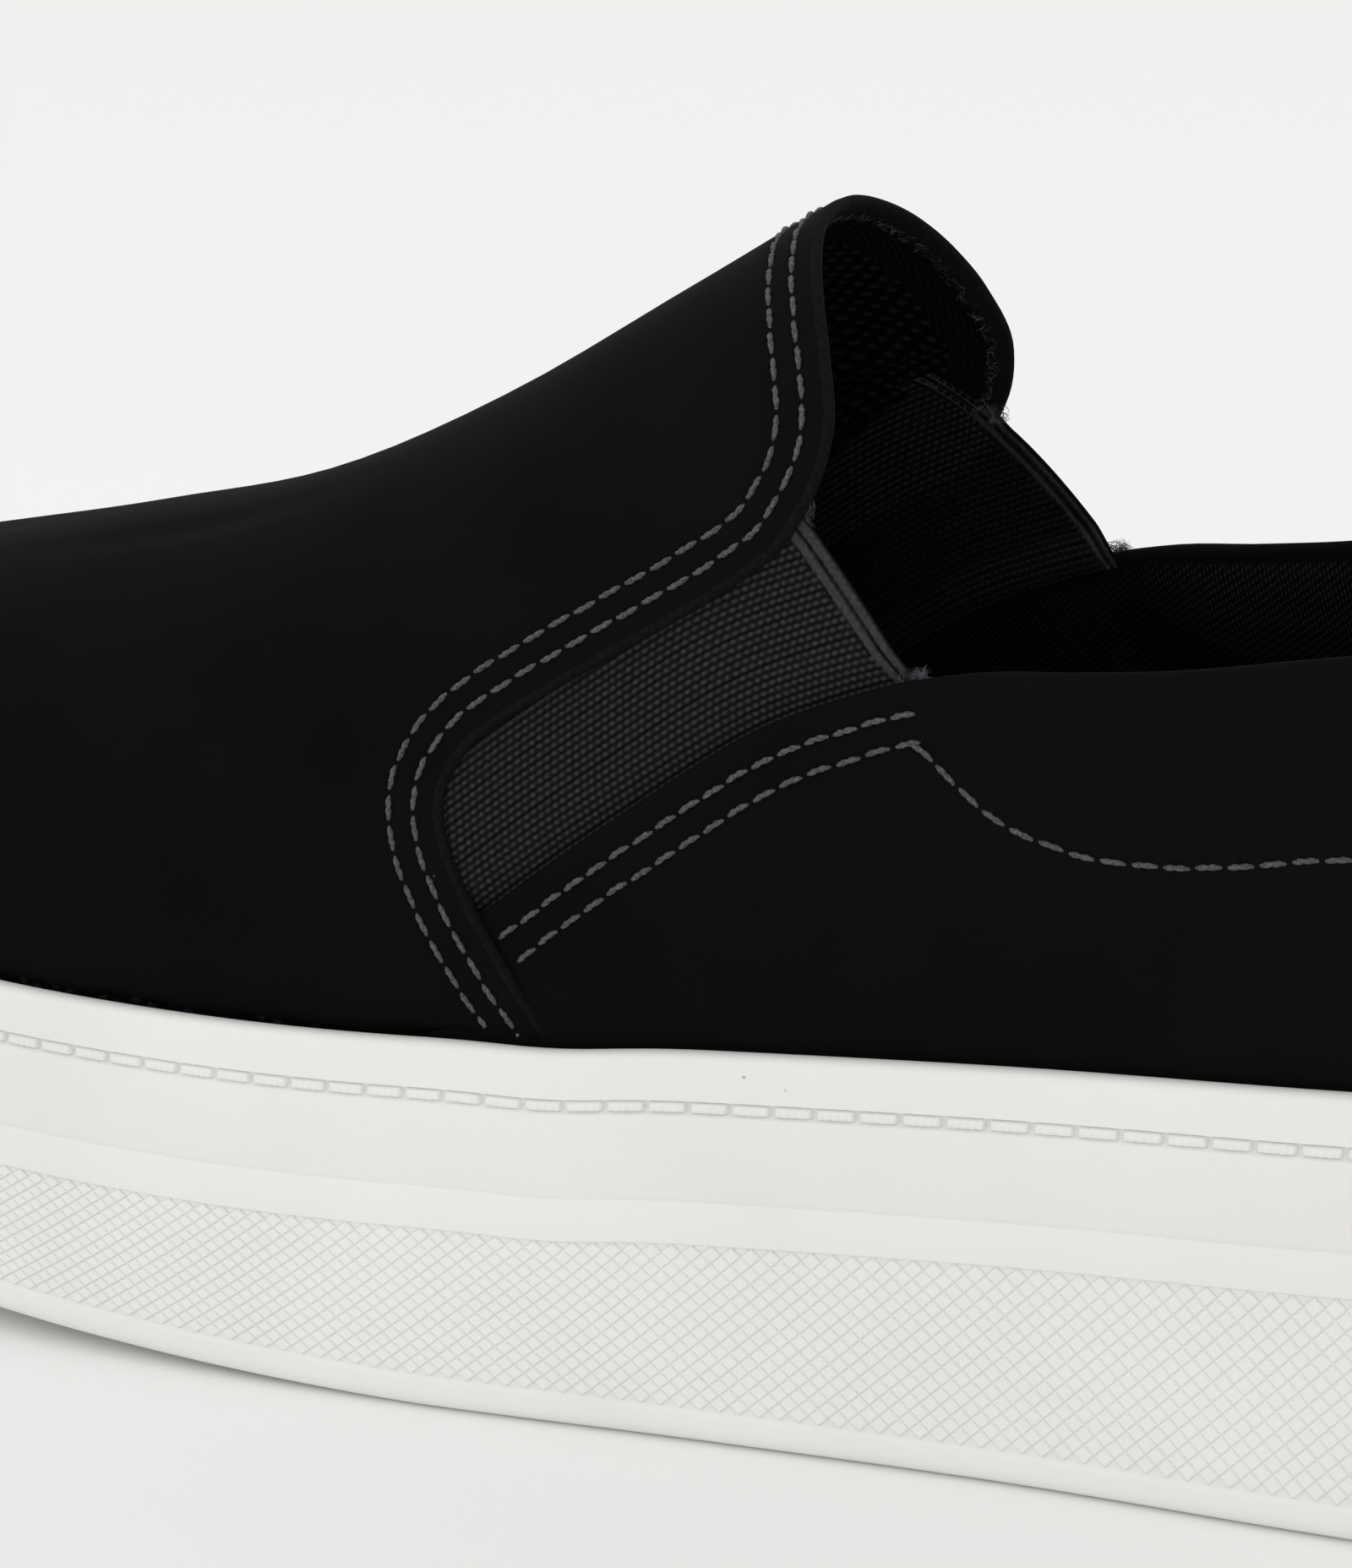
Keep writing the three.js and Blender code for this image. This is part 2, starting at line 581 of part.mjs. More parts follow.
const shoe = new THREE.Group();
function place(name, geometry, material) {
  const mesh = new THREE.Mesh(geometry, material);
  mesh.name = name;
  shoe.add(mesh);
}
place("cupsole", cupsole(), materials.rubber);
place("upper", upper(), materials.nubuck);
place("gore_outer", gore(1), materials.elastic);
place("gore_inner", gore(-1), materials.elastic);
place("insole", insole(), materials.footbed);

// Origin: middle of the shoe's box, on the floor
const box = new THREE.Box3().setFromObject(shoe);
shoe.position.set(-(box.min.x + box.max.x) / 2, -(box.min.y + box.max.y) / 2, -box.min.z);

export default shoe;
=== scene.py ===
# A left slip-on sneaker of black nubuck on a thick white platform cupsole.
# x runs from heel to toe, y to the outer side of the foot, z up.
import math

import bmesh
import bpy
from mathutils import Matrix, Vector


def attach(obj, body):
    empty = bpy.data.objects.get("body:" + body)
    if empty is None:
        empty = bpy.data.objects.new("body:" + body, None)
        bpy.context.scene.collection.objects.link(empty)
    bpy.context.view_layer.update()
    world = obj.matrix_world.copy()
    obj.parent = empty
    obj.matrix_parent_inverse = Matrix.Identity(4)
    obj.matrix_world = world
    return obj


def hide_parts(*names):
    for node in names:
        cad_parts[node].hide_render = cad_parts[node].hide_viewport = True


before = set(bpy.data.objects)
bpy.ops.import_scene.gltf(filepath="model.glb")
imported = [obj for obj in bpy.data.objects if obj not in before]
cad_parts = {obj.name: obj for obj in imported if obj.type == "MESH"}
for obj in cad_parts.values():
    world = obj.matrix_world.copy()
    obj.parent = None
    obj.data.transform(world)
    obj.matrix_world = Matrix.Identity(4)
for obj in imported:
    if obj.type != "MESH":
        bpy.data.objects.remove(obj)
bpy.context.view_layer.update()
MM = 0.001

# The last: the form that upper, gores and insole are made over, worked out from the
# sole's length. Ring angle 0 is the heel and pi the toe; up is 0 at the lip of the sole
# and 1 on the ridge of the instep. All in millimetres from the back of the heel.
LENGTH = 262
BALL_WIDTH = 92
HEEL_HEIGHT = 44.5
WEDGE_DROP = 13.5
LIP_SPRING = 11
TOE_SPRING = 10
TREAD_SPRING_FROM = 0.534
LIP_SPRING_FROM = 0.55
LEAN = 2.9
LIP_WIDTH = 2.5
CUP_DEPTH = 10
INSTEP_HEIGHT = 117
FOOT_INSET = 6.2
OUTLINE = [
    # along, outer half width, inner half width
    (0.0, 0.0, 0.0), (0.03, 0.195, 0.195), (0.1, 0.325, 0.325), (0.21, 0.357, 0.35),
    (0.32, 0.373, 0.335), (0.435, 0.408, 0.335), (0.55, 0.448, 0.385), (0.645, 0.463, 0.47),
    (0.74, 0.455, 0.53), (0.835, 0.405, 0.515), (0.915, 0.315, 0.445), (0.97, 0.155, 0.335),
    (1.0, -0.09, 0.09),
]
RIBS = [
    # along, low handle out, low handle up, high handle out, ridge
    (0.0, 1.04, 0.45, 0.96, 1.154), (0.1, 1.08, 0.49, 1.0, 1.154),
    (0.22, 1.16, 0.54, 1.06, 1.145), (0.32, 1.19, 0.61, 1.02, 1.077),
    (0.4, 1.22, 0.83, 0.8, 1.0), (0.48, 1.18, 0.855, 0.62, 0.896),
    (0.56, 1.15, 0.74, 0.56, 0.791), (0.65, 1.12, 0.61, 0.56, 0.7),
    (0.75, 1.09, 0.495, 0.6, 0.648), (0.85, 1.06, 0.405, 0.68, 0.611),
    (0.93, 1.04, 0.36, 0.72, 0.589), (1.0, 1.03, 0.315, 0.74, 0.577),
]


def smooth_table(xs, ys, x):
    last_row = len(xs) - 1
    i = 0
    while i < last_row - 1 and x > xs[i + 1]:
        i += 1

    def slope(k):
        if k <= 0:
            return (ys[1] - ys[0]) / (xs[1] - xs[0])
        if k >= last_row:
            return (ys[-1] - ys[-2]) / (xs[-1] - xs[-2])
        h0, h1 = xs[k] - xs[k - 1], xs[k + 1] - xs[k]
        return ((ys[k] - ys[k - 1]) / h0 * h1 + (ys[k + 1] - ys[k]) / h1 * h0) / (h0 + h1)

    h = xs[i + 1] - xs[i]
    t = (x - xs[i]) / h
    a = (2 * t**3 - 3 * t * t + 1) * ys[i] + (t**3 - 2 * t * t + t) * h * slope(i)
    return a + (-2 * t**3 + 3 * t * t) * ys[i + 1] + (t**3 - t * t) * h * slope(i + 1)


def column(table, place, value):
    xs = [row[place] for row in table]
    ys = [row[value] for row in table]
    return lambda x: smooth_table(xs, ys, x)


def smooth_step(t):
    c = min(1.0, max(0.0, t))
    return c * c * (3 - 2 * c)


ring_rows = [(-math.acos(1 - 2 * s), -inner) for s, outer, inner in reversed(OUTLINE)][:-1]
ring_rows += [(math.acos(1 - 2 * s), outer) for s, outer, inner in OUTLINE]
before = [(a - math.tau, y) for a, y in ring_rows[:-1][-3:]]
after = [(a + math.tau, y) for a, y in ring_rows[1:4]]
half_width = column(before + ring_rows + after, 0, 1)


def outline(angle, inset=0.0):
    a = angle - math.tau if angle > math.pi else angle

    def place(b):
        return LENGTH * (1 - math.cos(b)) / 2, BALL_WIDTH * half_width(b)

    x, y = place(a)
    if inset == 0.0:
        return x, y
    x0, y0 = place(a - 1e-3)
    x1, y1 = place(a + 1e-3)
    run = math.hypot(x1 - x0, y1 - y0)
    return x + inset * (y1 - y0) / run, y - inset * (x1 - x0) / run


def angle_at(x):
    return math.acos(1 - 2 * min(1.0, max(0.0, x / LENGTH)))


def rising(x, start, power):
    return max(0.0, (x / LENGTH - start) / (1 - start)) ** power


def tread_z(x):
    return TOE_SPRING * rising(x, TREAD_SPRING_FROM, 1.6)


# The lip dips a little where the vamp's edge runs into the cup, as the rubber is pressed
DIP_PLACE = 0.49
DIP_WIDTH = 0.03
DIP_DEPTH = 0.55


def lip_z(x):
    dip = DIP_DEPTH * math.exp(-(((x / LENGTH - DIP_PLACE) / DIP_WIDTH) ** 2))
    spring = LIP_SPRING * rising(x, LIP_SPRING_FROM, 1.7)
    return HEEL_HEIGHT - WEDGE_DROP * x / LENGTH + spring - dip


# The ribs stand upright between these two places, lean forward behind them to the start
# of the ridge, and lean back in front of them to its end
RIBS_UPRIGHT_FROM = 0.23
RIBS_UPRIGHT_TO = 0.64
RIDGE_START = 0.14
RIDGE_END = 0.88
RIDGE_SHIFT = 0.5
RIDGE_SWING = 4.5


def ridge_place(x):
    s = x / LENGTH
    along = s
    if s < RIBS_UPRIGHT_FROM:
        back = (s / RIBS_UPRIGHT_FROM) ** 2.2
        along = RIDGE_START + (RIBS_UPRIGHT_FROM - RIDGE_START) * back
    elif s > RIBS_UPRIGHT_TO:
        front = ((s - RIBS_UPRIGHT_TO) / (1 - RIBS_UPRIGHT_TO)) ** 2.2
        along = s - (1 - RIDGE_END) * front
    return along * LENGTH, RIDGE_SHIFT - RIDGE_SWING * rising(x, 0.5, 1.5)


rib_low, rib_rise = column(RIBS, 0, 1), column(RIBS, 0, 2)
rib_high, rib_ridge = column(RIBS, 0, 3), column(RIBS, 0, 4)


def last(angle, up):
    a = angle - math.tau if angle > math.pi else angle
    x = LENGTH * (1 - math.cos(a)) / 2
    s = x / LENGTH
    bx, by = outline(a, FOOT_INSET)
    rx, ry = ridge_place(x)
    foot = lip_z(bx)
    b0, b1 = (1 - up) ** 3, 3 * up * (1 - up) ** 2
    b2, b3 = 3 * up * up * (1 - up), up**3
    out = b0 + b1 * rib_low(s) + b2 * rib_high(s)
    top = INSTEP_HEIGHT * rib_ridge(s)
    z = b0 * foot + b1 * (foot + HEEL_HEIGHT * rib_rise(s)) + (b2 + b3) * top
    return Vector((rx + (bx - rx) * out, ry + (by - ry) * out, z))


def last_normal(angle, up):
    if up > 0.999:
        x = LENGTH * (1 - math.cos(angle)) / 2
        x0, x1 = max(0.0, x - 0.01 * LENGTH), min(LENGTH, x + 0.01 * LENGTH)
        run = ridge_place(x1)[0] - ridge_place(x0)[0]
        climb = INSTEP_HEIGHT * (rib_ridge(x1 / LENGTH) - rib_ridge(x0 / LENGTH))
        return Vector((-climb, 0, run)).normalized()
    along = last(angle + 1e-3, up) - last(angle - 1e-3, up)
    climb = last(angle, up + 1e-3) - last(angle, max(0.0, up - 1e-3))
    return climb.cross(along).normalized()


def off_last(angle, up, distance):
    return last(angle, up) + last_normal(angle, up) * distance


# The frame's origin is the middle of the shoe's box, so places move by this
MIDDLE = Vector((130.97, -3.16, 0))


def in_frame(point):
    return (Vector(point) - MIDDLE) * MM


# Helpers that the first pieces need: a grid of quads shaped over the last, and materials
# whose nodes are added one at a time with their settings and links
def grid_mesh(columns, rows, place, join=True, uv=None, paint=None):
    bm = bmesh.new()
    uv_layer = bm.loops.layers.uv.new("surface") if uv else None
    bmesh.ops.create_grid(bm, x_segments=columns, y_segments=rows, size=0.5)
    for v in bm.verts:
        i, j = round((v.co.x + 0.5) * columns), round((v.co.y + 0.5) * rows)
        v.co = Vector((i, j, 0))
    if uv:
        for f in bm.faces:
            for loop in f.loops:
                i, j = round(loop.vert.co.x), round(loop.vert.co.y)
                loop[uv_layer].uv = uv(i, j)
    if paint:
        for f in bm.faces:
            f.material_index = paint(round(min(v.co.x for v in f.verts)))
    for v in bm.verts:
        v.co = in_frame(place(round(v.co.x), round(v.co.y)))
    if join:
        bmesh.ops.remove_doubles(bm, verts=bm.verts, dist=1e-6)
    return bm


def finish_mesh(bm, name, material, smooth=True):
    mesh = bpy.data.meshes.new(name)
    bm.to_mesh(mesh)
    bm.free()
    if smooth:
        mesh.shade_smooth()
    piece = bpy.data.objects.new(name, mesh)
    bpy.context.scene.collection.objects.link(piece)
    mesh.materials.append(material)
    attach(piece, "root")
    return piece


def linear(hex_colour):
    parts = [int(hex_colour[k:k + 2], 16) / 255 for k in (1, 3, 5)]
    return [p / 12.92 if p <= 0.04045 else ((p + 0.055) / 1.055) ** 2.4 for p in parts] + [1.0]


def new_material(name):
    material = bpy.data.materials.new(name)
    material.use_nodes = True
    material.node_tree.nodes.clear()
    return material


def node(material, kind, settings=None, **inputs):
    """Adds a node: settings are its properties, inputs are numbers, colours or sockets."""
    made = material.node_tree.nodes.new(kind)
    for key, value in (settings or {}).items():
        setattr(made, key, value)
    for key, value in inputs.items():
        index = int(key[1:]) if key[0] == "i" and key[1:].isdigit() else None
        socket = made.inputs[index] if index is not None else made.inputs[key.replace("_", " ")]
        if isinstance(value, bpy.types.NodeSocket):
            material.node_tree.links.new(value, socket)
        else:
            socket.default_value = value
    return made


def shade(material, colour, roughness, bump_height, bump_mm, **constants):
    """The last nodes of a material: bump, shader and output."""
    bump = node(material, "ShaderNodeBump", Height=bump_height, Distance=bump_mm * MM)
    shader = node(material, "ShaderNodeBsdfPrincipled", Base_Color=colour, Roughness=roughness,
                  Normal=bump.outputs["Normal"], **constants)
    node(material, "ShaderNodeOutputMaterial", Surface=shader.outputs["BSDF"])


def ramp(material, factor, stops):
    made = node(material, "ShaderNodeValToRGB", Fac=factor)
    elements = made.color_ramp.elements
    while len(elements) < len(stops):
        elements.new(0.5)
    for element, (place, colour) in zip(elements, stops):
        element.position = place
        element.color = linear(colour) if isinstance(colour, str) else [colour] * 3 + [1]
    return made.outputs["Color"]


# Camera, floor and light: a plain pale studio, seen from the outer side of the shoe, a
# little from behind and above, close up, with the toe and the heel outside the frame.
CAMERA_PLACE = (-25.46, 337.47, 165.21)
CAMERA_LOOK = Vector((0.40380, -0.86839, -0.28783))
CAMERA_ROLL = math.radians(-0.874)
FOCAL_PIXELS = 4533.5
IMAGE_WIDTH = 1600
SENSOR = 36.0
camera_data = bpy.data.cameras.new("camera")
camera = bpy.data.objects.new("camera", camera_data)
bpy.context.scene.collection.objects.link(camera)
camera_data.sensor_fit = "HORIZONTAL"
camera_data.sensor_width = SENSOR
camera_data.lens = FOCAL_PIXELS / IMAGE_WIDTH * SENSOR
camera_data.clip_start = 0.01
camera.location = in_frame(CAMERA_PLACE)
turn = CAMERA_LOOK.to_track_quat("-Z", "Y").to_matrix()
level_right = CAMERA_LOOK.cross(Vector((0, 0, 1))).normalized()
level_up = level_right.cross(CAMERA_LOOK).normalized()
right = level_right * math.cos(CAMERA_ROLL) + level_up * math.sin(CAMERA_ROLL)
upward = -level_right * math.sin(CAMERA_ROLL) + level_up * math.cos(CAMERA_ROLL)
for k in range(3):
    turn[k][0], turn[k][1], turn[k][2] = right[k], upward[k], -CAMERA_LOOK[k]
camera.rotation_euler = turn.to_euler()
bpy.context.scene.camera = camera

paper = new_material("matt_backdrop_paper")
shade(paper, linear("#f4f4f3"), 0.9, 0.5, 0.0)
BACKDROP = 6000
floor_bm = bmesh.new()
bmesh.ops.create_grid(floor_bm, x_segments=1, y_segments=1, size=BACKDROP * MM)
floor_mesh = bpy.data.meshes.new("backdrop")
floor_bm.to_mesh(floor_mesh)
floor_bm.free()
floor_mesh.materials.append(paper)
backdrop = bpy.data.objects.new("backdrop", floor_mesh)
bpy.context.scene.collection.objects.link(backdrop)

world = bpy.data.worlds.new("studio")
bpy.context.scene.world = world
world.use_nodes = True
world.node_tree.nodes["Background"].inputs["Color"].default_value = linear("#f2f2f2")
world.node_tree.nodes["Background"].inputs["Strength"].default_value = 1.08
bpy.context.scene.view_settings.view_transform = "Standard"


def soft_light(name, place, aim, width, power):
    data = bpy.data.lights.new(name, "AREA")
    data.size = width * MM
    data.energy = power
    lamp = bpy.data.objects.new(name, data)
    bpy.context.scene.collection.objects.link(lamp)
    lamp.location = in_frame(place)
    way = in_frame(aim) - lamp.location
    lamp.rotation_euler = way.to_track_quat("-Z", "Y").to_euler()


soft_light("overhead", (150, 100, 900), (131, 0, 40), 900, 0.25)
soft_light("front_left", (600, 700, 420), (131, 0, 40), 600, 0.5)

# Cupsole: one moulded unit of white foamed rubber, glued to the upper. Its side leans in,
# with a rounded rim, a band of small diamonds, a step and a row of false stitches that the
# mould gives it. It is made as stacked rings, which the tread with its cross slots closes
# below and the floor of the cup above.
RIM_HEIGHT = 3.5
RIM_ROUND = 2.2
BAND_TOP = 18.4
BAND_DEPTH = 0.32
STEP_LINE = 14.3
STEP_DEPTH = 0.35
STITCH_LINE = 5.3
GROOVE_HALF = 0.75
GROOVE_DEPTH = 0.7
SLOT_PITCH = 9
SLOT_WIDTH = 2.4
SLOT_DEPTH = 1.5
SLOT_MARGIN = 9
SLOT_WALL = 0.06
SLOT_GROUPS = [(0.07, 0.33), (0.51, 0.9)]
WAIST_RISE = 1.4
WAIST_FROM = 0.34
WAIST_TO = 0.45

rubber = new_material("foamed_rubber_moulded_matt")
# Moulded foam is nearly flat in gloss, with a very fine sand grain from the mould and a
# few specks of dirt that stay in it.
coords = node(rubber, "ShaderNodeTexCoord").outputs["Object"]
grain = node(rubber, "ShaderNodeTexNoise", Vector=coords, Scale=2600.0, Detail=3.0)
cloud = node(rubber, "ShaderNodeTexNoise", Vector=coords, Scale=28.0, Detail=4.0)
specks = node(rubber, "ShaderNodeTexVoronoi", Vector=coords, Scale=260.0, Randomness=1.0)
speck_mask = ramp(rubber, specks.outputs["Distance"], [(0.03, 1.0), (0.05, 0.0)])
speck_pick = node(rubber, "ShaderNodeTexNoise", Vector=coords, Scale=60.0, Detail=1.0)
speck_few = ramp(rubber, speck_pick.outputs["Fac"], [(0.66, 0.0), (0.68, 0.75)])
speck = node(rubber, "ShaderNodeMath", {"operation": "MULTIPLY"}, i0=speck_mask, i1=speck_few)
tone = ramp(rubber, cloud.outputs["Fac"], [(0.3, "#e8e7e4"), (0.7, "#ededea")])
dirt = node(rubber, "ShaderNodeMix", {"data_type": "RGBA"}, i0=speck.outputs[0], i6=tone,
            i7=linear("#8f8a80"))
shade(rubber, dirt.outputs[2], 0.62, grain.outputs["Fac"], 0.02, IOR=1.5,
      Specular_IOR_Level=0.35, Subsurface_Weight=0.06, Subsurface_Scale=0.002)


def lean_in(x, z):
    return LEAN * (z - tread_z(x)) / (lip_z(x) - tread_z(x))


def from_tread(height):
    return lambda x: tread_z(x) + height


def from_lip(drop):
    return lambda x: lip_z(x) - drop


side_rows = []
for k in range(7):
    bend = math.pi / 2 * k / 6
    height, depth = RIM_ROUND * (1 - math.cos(bend)), RIM_ROUND * (1 - math.sin(bend))
    side_rows.append((from_tread(height), depth))
side_rows += [
    (from_tread(RIM_HEIGHT - 0.3), 0.0), (from_tread(RIM_HEIGHT), 0.03),
    (from_tread(RIM_HEIGHT + 0.3), BAND_DEPTH), (from_lip(BAND_TOP + 0.25), BAND_DEPTH),
    (from_lip(BAND_TOP), 0.03), (from_lip(BAND_TOP - 0.3), 0.0),
    (from_lip(STEP_LINE + 0.25), 0.0), (from_lip(STEP_LINE + 0.08), 0.1),
    (from_lip(STEP_LINE), 0.42), (from_lip(STEP_LINE - 0.2), STEP_DEPTH),
]
for k in range(9):
    swing = k / 8 * 2 - 1
    bite = GROOVE_DEPTH * (1 - swing**4)
    side_rows.append((from_lip(STITCH_LINE - GROOVE_HALF * swing), STEP_DEPTH + bite))
for k in range(7):
    bend = math.pi * k / 6
    half = LIP_WIDTH / 2 - STEP_DEPTH / 2
    drop = 0.9 * (1 - math.sin(bend) ** 0.7)
    side_rows.append((from_lip(drop), STEP_DEPTH + half * (1 - math.cos(bend))))
CUP_ROW = len(side_rows)


slots = []
for start, end in SLOT_GROUPS:
    place = start * LENGTH
    while place + SLOT_WIDTH <= end * LENGTH:
        slots.append(place)
        place += SLOT_PITCH
half_angles = [math.pi * k / 200 for k in range(201)]
for place in slots:
    for edge in (0, SLOT_WALL, SLOT_WIDTH - SLOT_WALL, SLOT_WIDTH):
        half_angles.append(angle_at(place + edge))
half_angles.sort()
ring_angles = half_angles + [math.tau - a for a in reversed(half_angles[:-1])]


def sole_ring(i, j):
    angle = ring_angles[i]
    x = outline(angle)[0]
    if j >= CUP_ROW:
        px, py = outline(angle, LEAN + LIP_WIDTH)
        return px, py, lip_z(px) - CUP_DEPTH
    level, depth = side_rows[j]
    px, py = outline(angle, lean_in(x, level(x)) + depth)
    return px, py, level(px)


def tread_share(span, j):
    """How far across the tread row j lies: margins with the slots' ends, then evenly."""
    margin = min(0.45, (SLOT_MARGIN - RIM_ROUND) / max(0.01, span))
    end = margin + min(0.02, SLOT_WALL / max(0.01, span))
    half = [0.0, margin / 2, margin, end, end + (0.5 - end) / 2, 0.5]
    return half[j] if j < len(half) else 1 - half[2 * len(half) - 2 - j]


def tread_point(i, j):
    angle = half_angles[i]
    x = outline(angle)[0]
    near, far = outline(angle, RIM_ROUND), outline(-angle, RIM_ROUND)
    share = tread_share(near[1] - far[1], j)
    waist = (x / LENGTH - WAIST_FROM) / (WAIST_TO - WAIST_FROM)
    lift = WAIST_RISE * math.sin(math.pi * min(1.0, max(0.0, waist))) ** 2
    lift *= smooth_step(5 * min(share, 1 - share))
    in_slot = any(SLOT_WALL / 2 < x - place < SLOT_WIDTH - SLOT_WALL / 2 for place in slots)
    if in_slot and 3 <= j <= 7:
        lift += SLOT_DEPTH
    across = [near[k] + (far[k] - near[k]) * share for k in (0, 1)]
    return across[0], across[1], tread_z(x) + lift


def cup_point(i, j):
    inset = LEAN + LIP_WIDTH
    near, far = outline(half_angles[i], inset), outline(-half_angles[i], inset)
    x, y = [near[k] + (far[k] - near[k]) * j / 2 for k in (0, 1)]
    return x, y, lip_z(x) - CUP_DEPTH


sole_bm = grid_mesh(len(ring_angles) - 1, CUP_ROW, sole_ring)
for rows, place in ((10, tread_point), (2, cup_point)):
    cap_bm = grid_mesh(len(half_angles) - 1, rows, place)
    cap_mesh = bpy.data.meshes.new("cap")
    cap_bm.to_mesh(cap_mesh)
    cap_bm.free()
    sole_bm.from_mesh(cap_mesh)
    bpy.data.meshes.remove(cap_mesh)
bmesh.ops.remove_doubles(sole_bm, verts=sole_bm.verts, dist=2e-6)
bmesh.ops.recalc_face_normals(sole_bm, faces=sole_bm.faces)
sole = finish_mesh(sole_bm, "platform_sole", rubber)
sole.data.set_sharp_from_angle(angle=math.radians(40))
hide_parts("cupsole")

# Diamond band: the mould cuts a crossed pattern of shallow grooves round the sole, which
# leaves raised diamonds. One column of them is spun on along the band, each is inset and
# raised, and the band is then wrapped round the sidewall.
DIAMOND_WIDE = 1.96
DIAMOND_TALL = 2.33
DIAMOND_BEVEL = 0.17
DIAMOND_RISE = 0.22
band_points = [outline(math.tau * k / 2000) for k in range(2001)]
band_way = [0.0]
for k in range(2000):
    band_way.append(band_way[-1] + math.dist(band_points[k], band_points[k + 1]))


def band_angle(way):
    low, high = 0, 2000
    while high - low > 1:
        middle = (low + high) // 2
        low, high = (middle, high) if band_way[middle] <= way else (low, middle)
    share = (way - band_way[low]) / (band_way[high] - band_way[low])
    return math.tau * (low + share) / 2000


diamond_count = round(band_way[-1] / DIAMOND_WIDE)
diamond_step = band_way[-1] / diamond_count
band_bm = bmesh.new()
band_tall = lip_z(0) - BAND_TOP - RIM_HEIGHT
for row in range(int(band_tall / DIAMOND_TALL * 2) - 1):
    made = bmesh.ops.create_circle(band_bm, cap_ends=True, segments=4, radius=1.0)
    for v in made["verts"]:
        v.co.x *= diamond_step / 2
        v.co.y *= DIAMOND_TALL / 2
        v.co.x += diamond_step / 2 * (row % 2)
        v.co.y += DIAMOND_TALL * (row / 2 + 0.62)
bmesh.ops.spin(band_bm, geom=band_bm.verts[:] + band_bm.edges[:] + band_bm.faces[:],
               axis=(0, 0, 1), cent=(0, 0, 0), dvec=(diamond_step, 0, 0), angle=0,
               steps=diamond_count - 1, use_duplicate=True)
bmesh.ops.inset_individual(band_bm, faces=band_bm.faces[:], thickness=DIAMOND_BEVEL,
                           depth=DIAMOND_RISE, use_even_offset=True)
for v in band_bm.verts:
    angle = band_angle(v.co.x % band_way[-1])
    x = outline(angle)[0]
    full = lip_z(x) - BAND_TOP - tread_z(x) - RIM_HEIGHT
    z = tread_z(x) + RIM_HEIGHT + v.co.y * full / band_tall
    depth = lean_in(x, z) + BAND_DEPTH - abs(v.co.z) * 0.9 - 0.04
    px, py = outline(angle, depth)
    v.co = in_frame((px, py, z))
bmesh.ops.recalc_face_normals(band_bm, faces=band_bm.faces)
band = finish_mesh(band_bm, "diamond_band", rubber, smooth=False)
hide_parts("cupsole")

# False stitches: rows of short ribbed bars that stand in the groove under the lip, moulded
# with the sole. Each is a small grid with five slanted ribs, laid along the groove.
BAR_PITCH = 4.09
BAR_LONG = 3.7
BAR_TALL = 1.15
BAR_RISE = 0.75
BAR_RIBS = 5
bar_count = round(band_way[-1] / BAR_PITCH)
bar_bm = bmesh.new()
bmesh.ops.create_grid(bar_bm, x_segments=24, y_segments=8, size=0.5)
bmesh.ops.spin(bar_bm, geom=bar_bm.verts[:] + bar_bm.edges[:] + bar_bm.faces[:],
               axis=(0, 0, 1), cent=(0, 0, 0), dvec=(2, 0, 0), angle=0, steps=bar_count - 1,
               use_duplicate=True)
for v in bar_bm.verts:
    bar = round(v.co.x / 2)
    u, w = v.co.x - 2 * bar, v.co.y
    rounded = (1 - (2 * abs(u)) ** 8) * (1 - (2 * abs(w)) ** 4)
    rib = 0.5 + 0.5 * math.cos(math.tau * (BAR_RIBS * u + 0.45 * w + 0.1 * (bar % 3)))
    way = (bar + 0.5 + u * BAR_LONG / BAR_PITCH) * band_way[-1] / bar_count
    angle = band_angle(way % band_way[-1])
    x = outline(angle)[0]
    z = lip_z(x) - STITCH_LINE + w * BAR_TALL
    rise = BAR_RISE * rounded ** 0.5 * (0.86 + 0.14 * rib)
    depth = lean_in(x, z) + STEP_DEPTH + GROOVE_DEPTH - rise
    px, py = outline(angle, depth)
    v.co = in_frame((px, py, z))
bars = finish_mesh(bar_bm, "false_stitches", rubber)
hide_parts("cupsole")

# Vamp: one piece of black nubuck from the flap over the instep down to the toe. Its rear
# edge is cut, rolled a little and sewn down with two rows of thread that sink into it.
OVERLAY = 1.0
VAMP_EDGE = [
    # rib, along
    (0.0, 0.4893), (0.075, 0.5061), (0.127, 0.5168), (0.175, 0.5248), (0.221, 0.5294),
    (0.247, 0.5294), (0.277, 0.5248), (0.3, 0.5168), (0.319, 0.5042), (0.355, 0.4721),
    (0.379, 0.4481), (0.403, 0.4279), (0.428, 0.412), (0.476, 0.3989), (0.542, 0.3931),
    (0.629, 0.3996), (0.7, 0.4074), (0.78, 0.4155), (0.88, 0.4235), (1.0, 0.4275),
]
vamp_edge = column(VAMP_EDGE, 0, 1)
ROW_INNER = 2.9
ROW_OUTER = 5.5
ROLL = 0.7
SINK = 0.16
DENT_HALF = 0.45
FLAP_TOP = 0.97
FLAP_FADE = 0.12
FOOT_SWELL = 0.5
FOOT_UP = 0.06


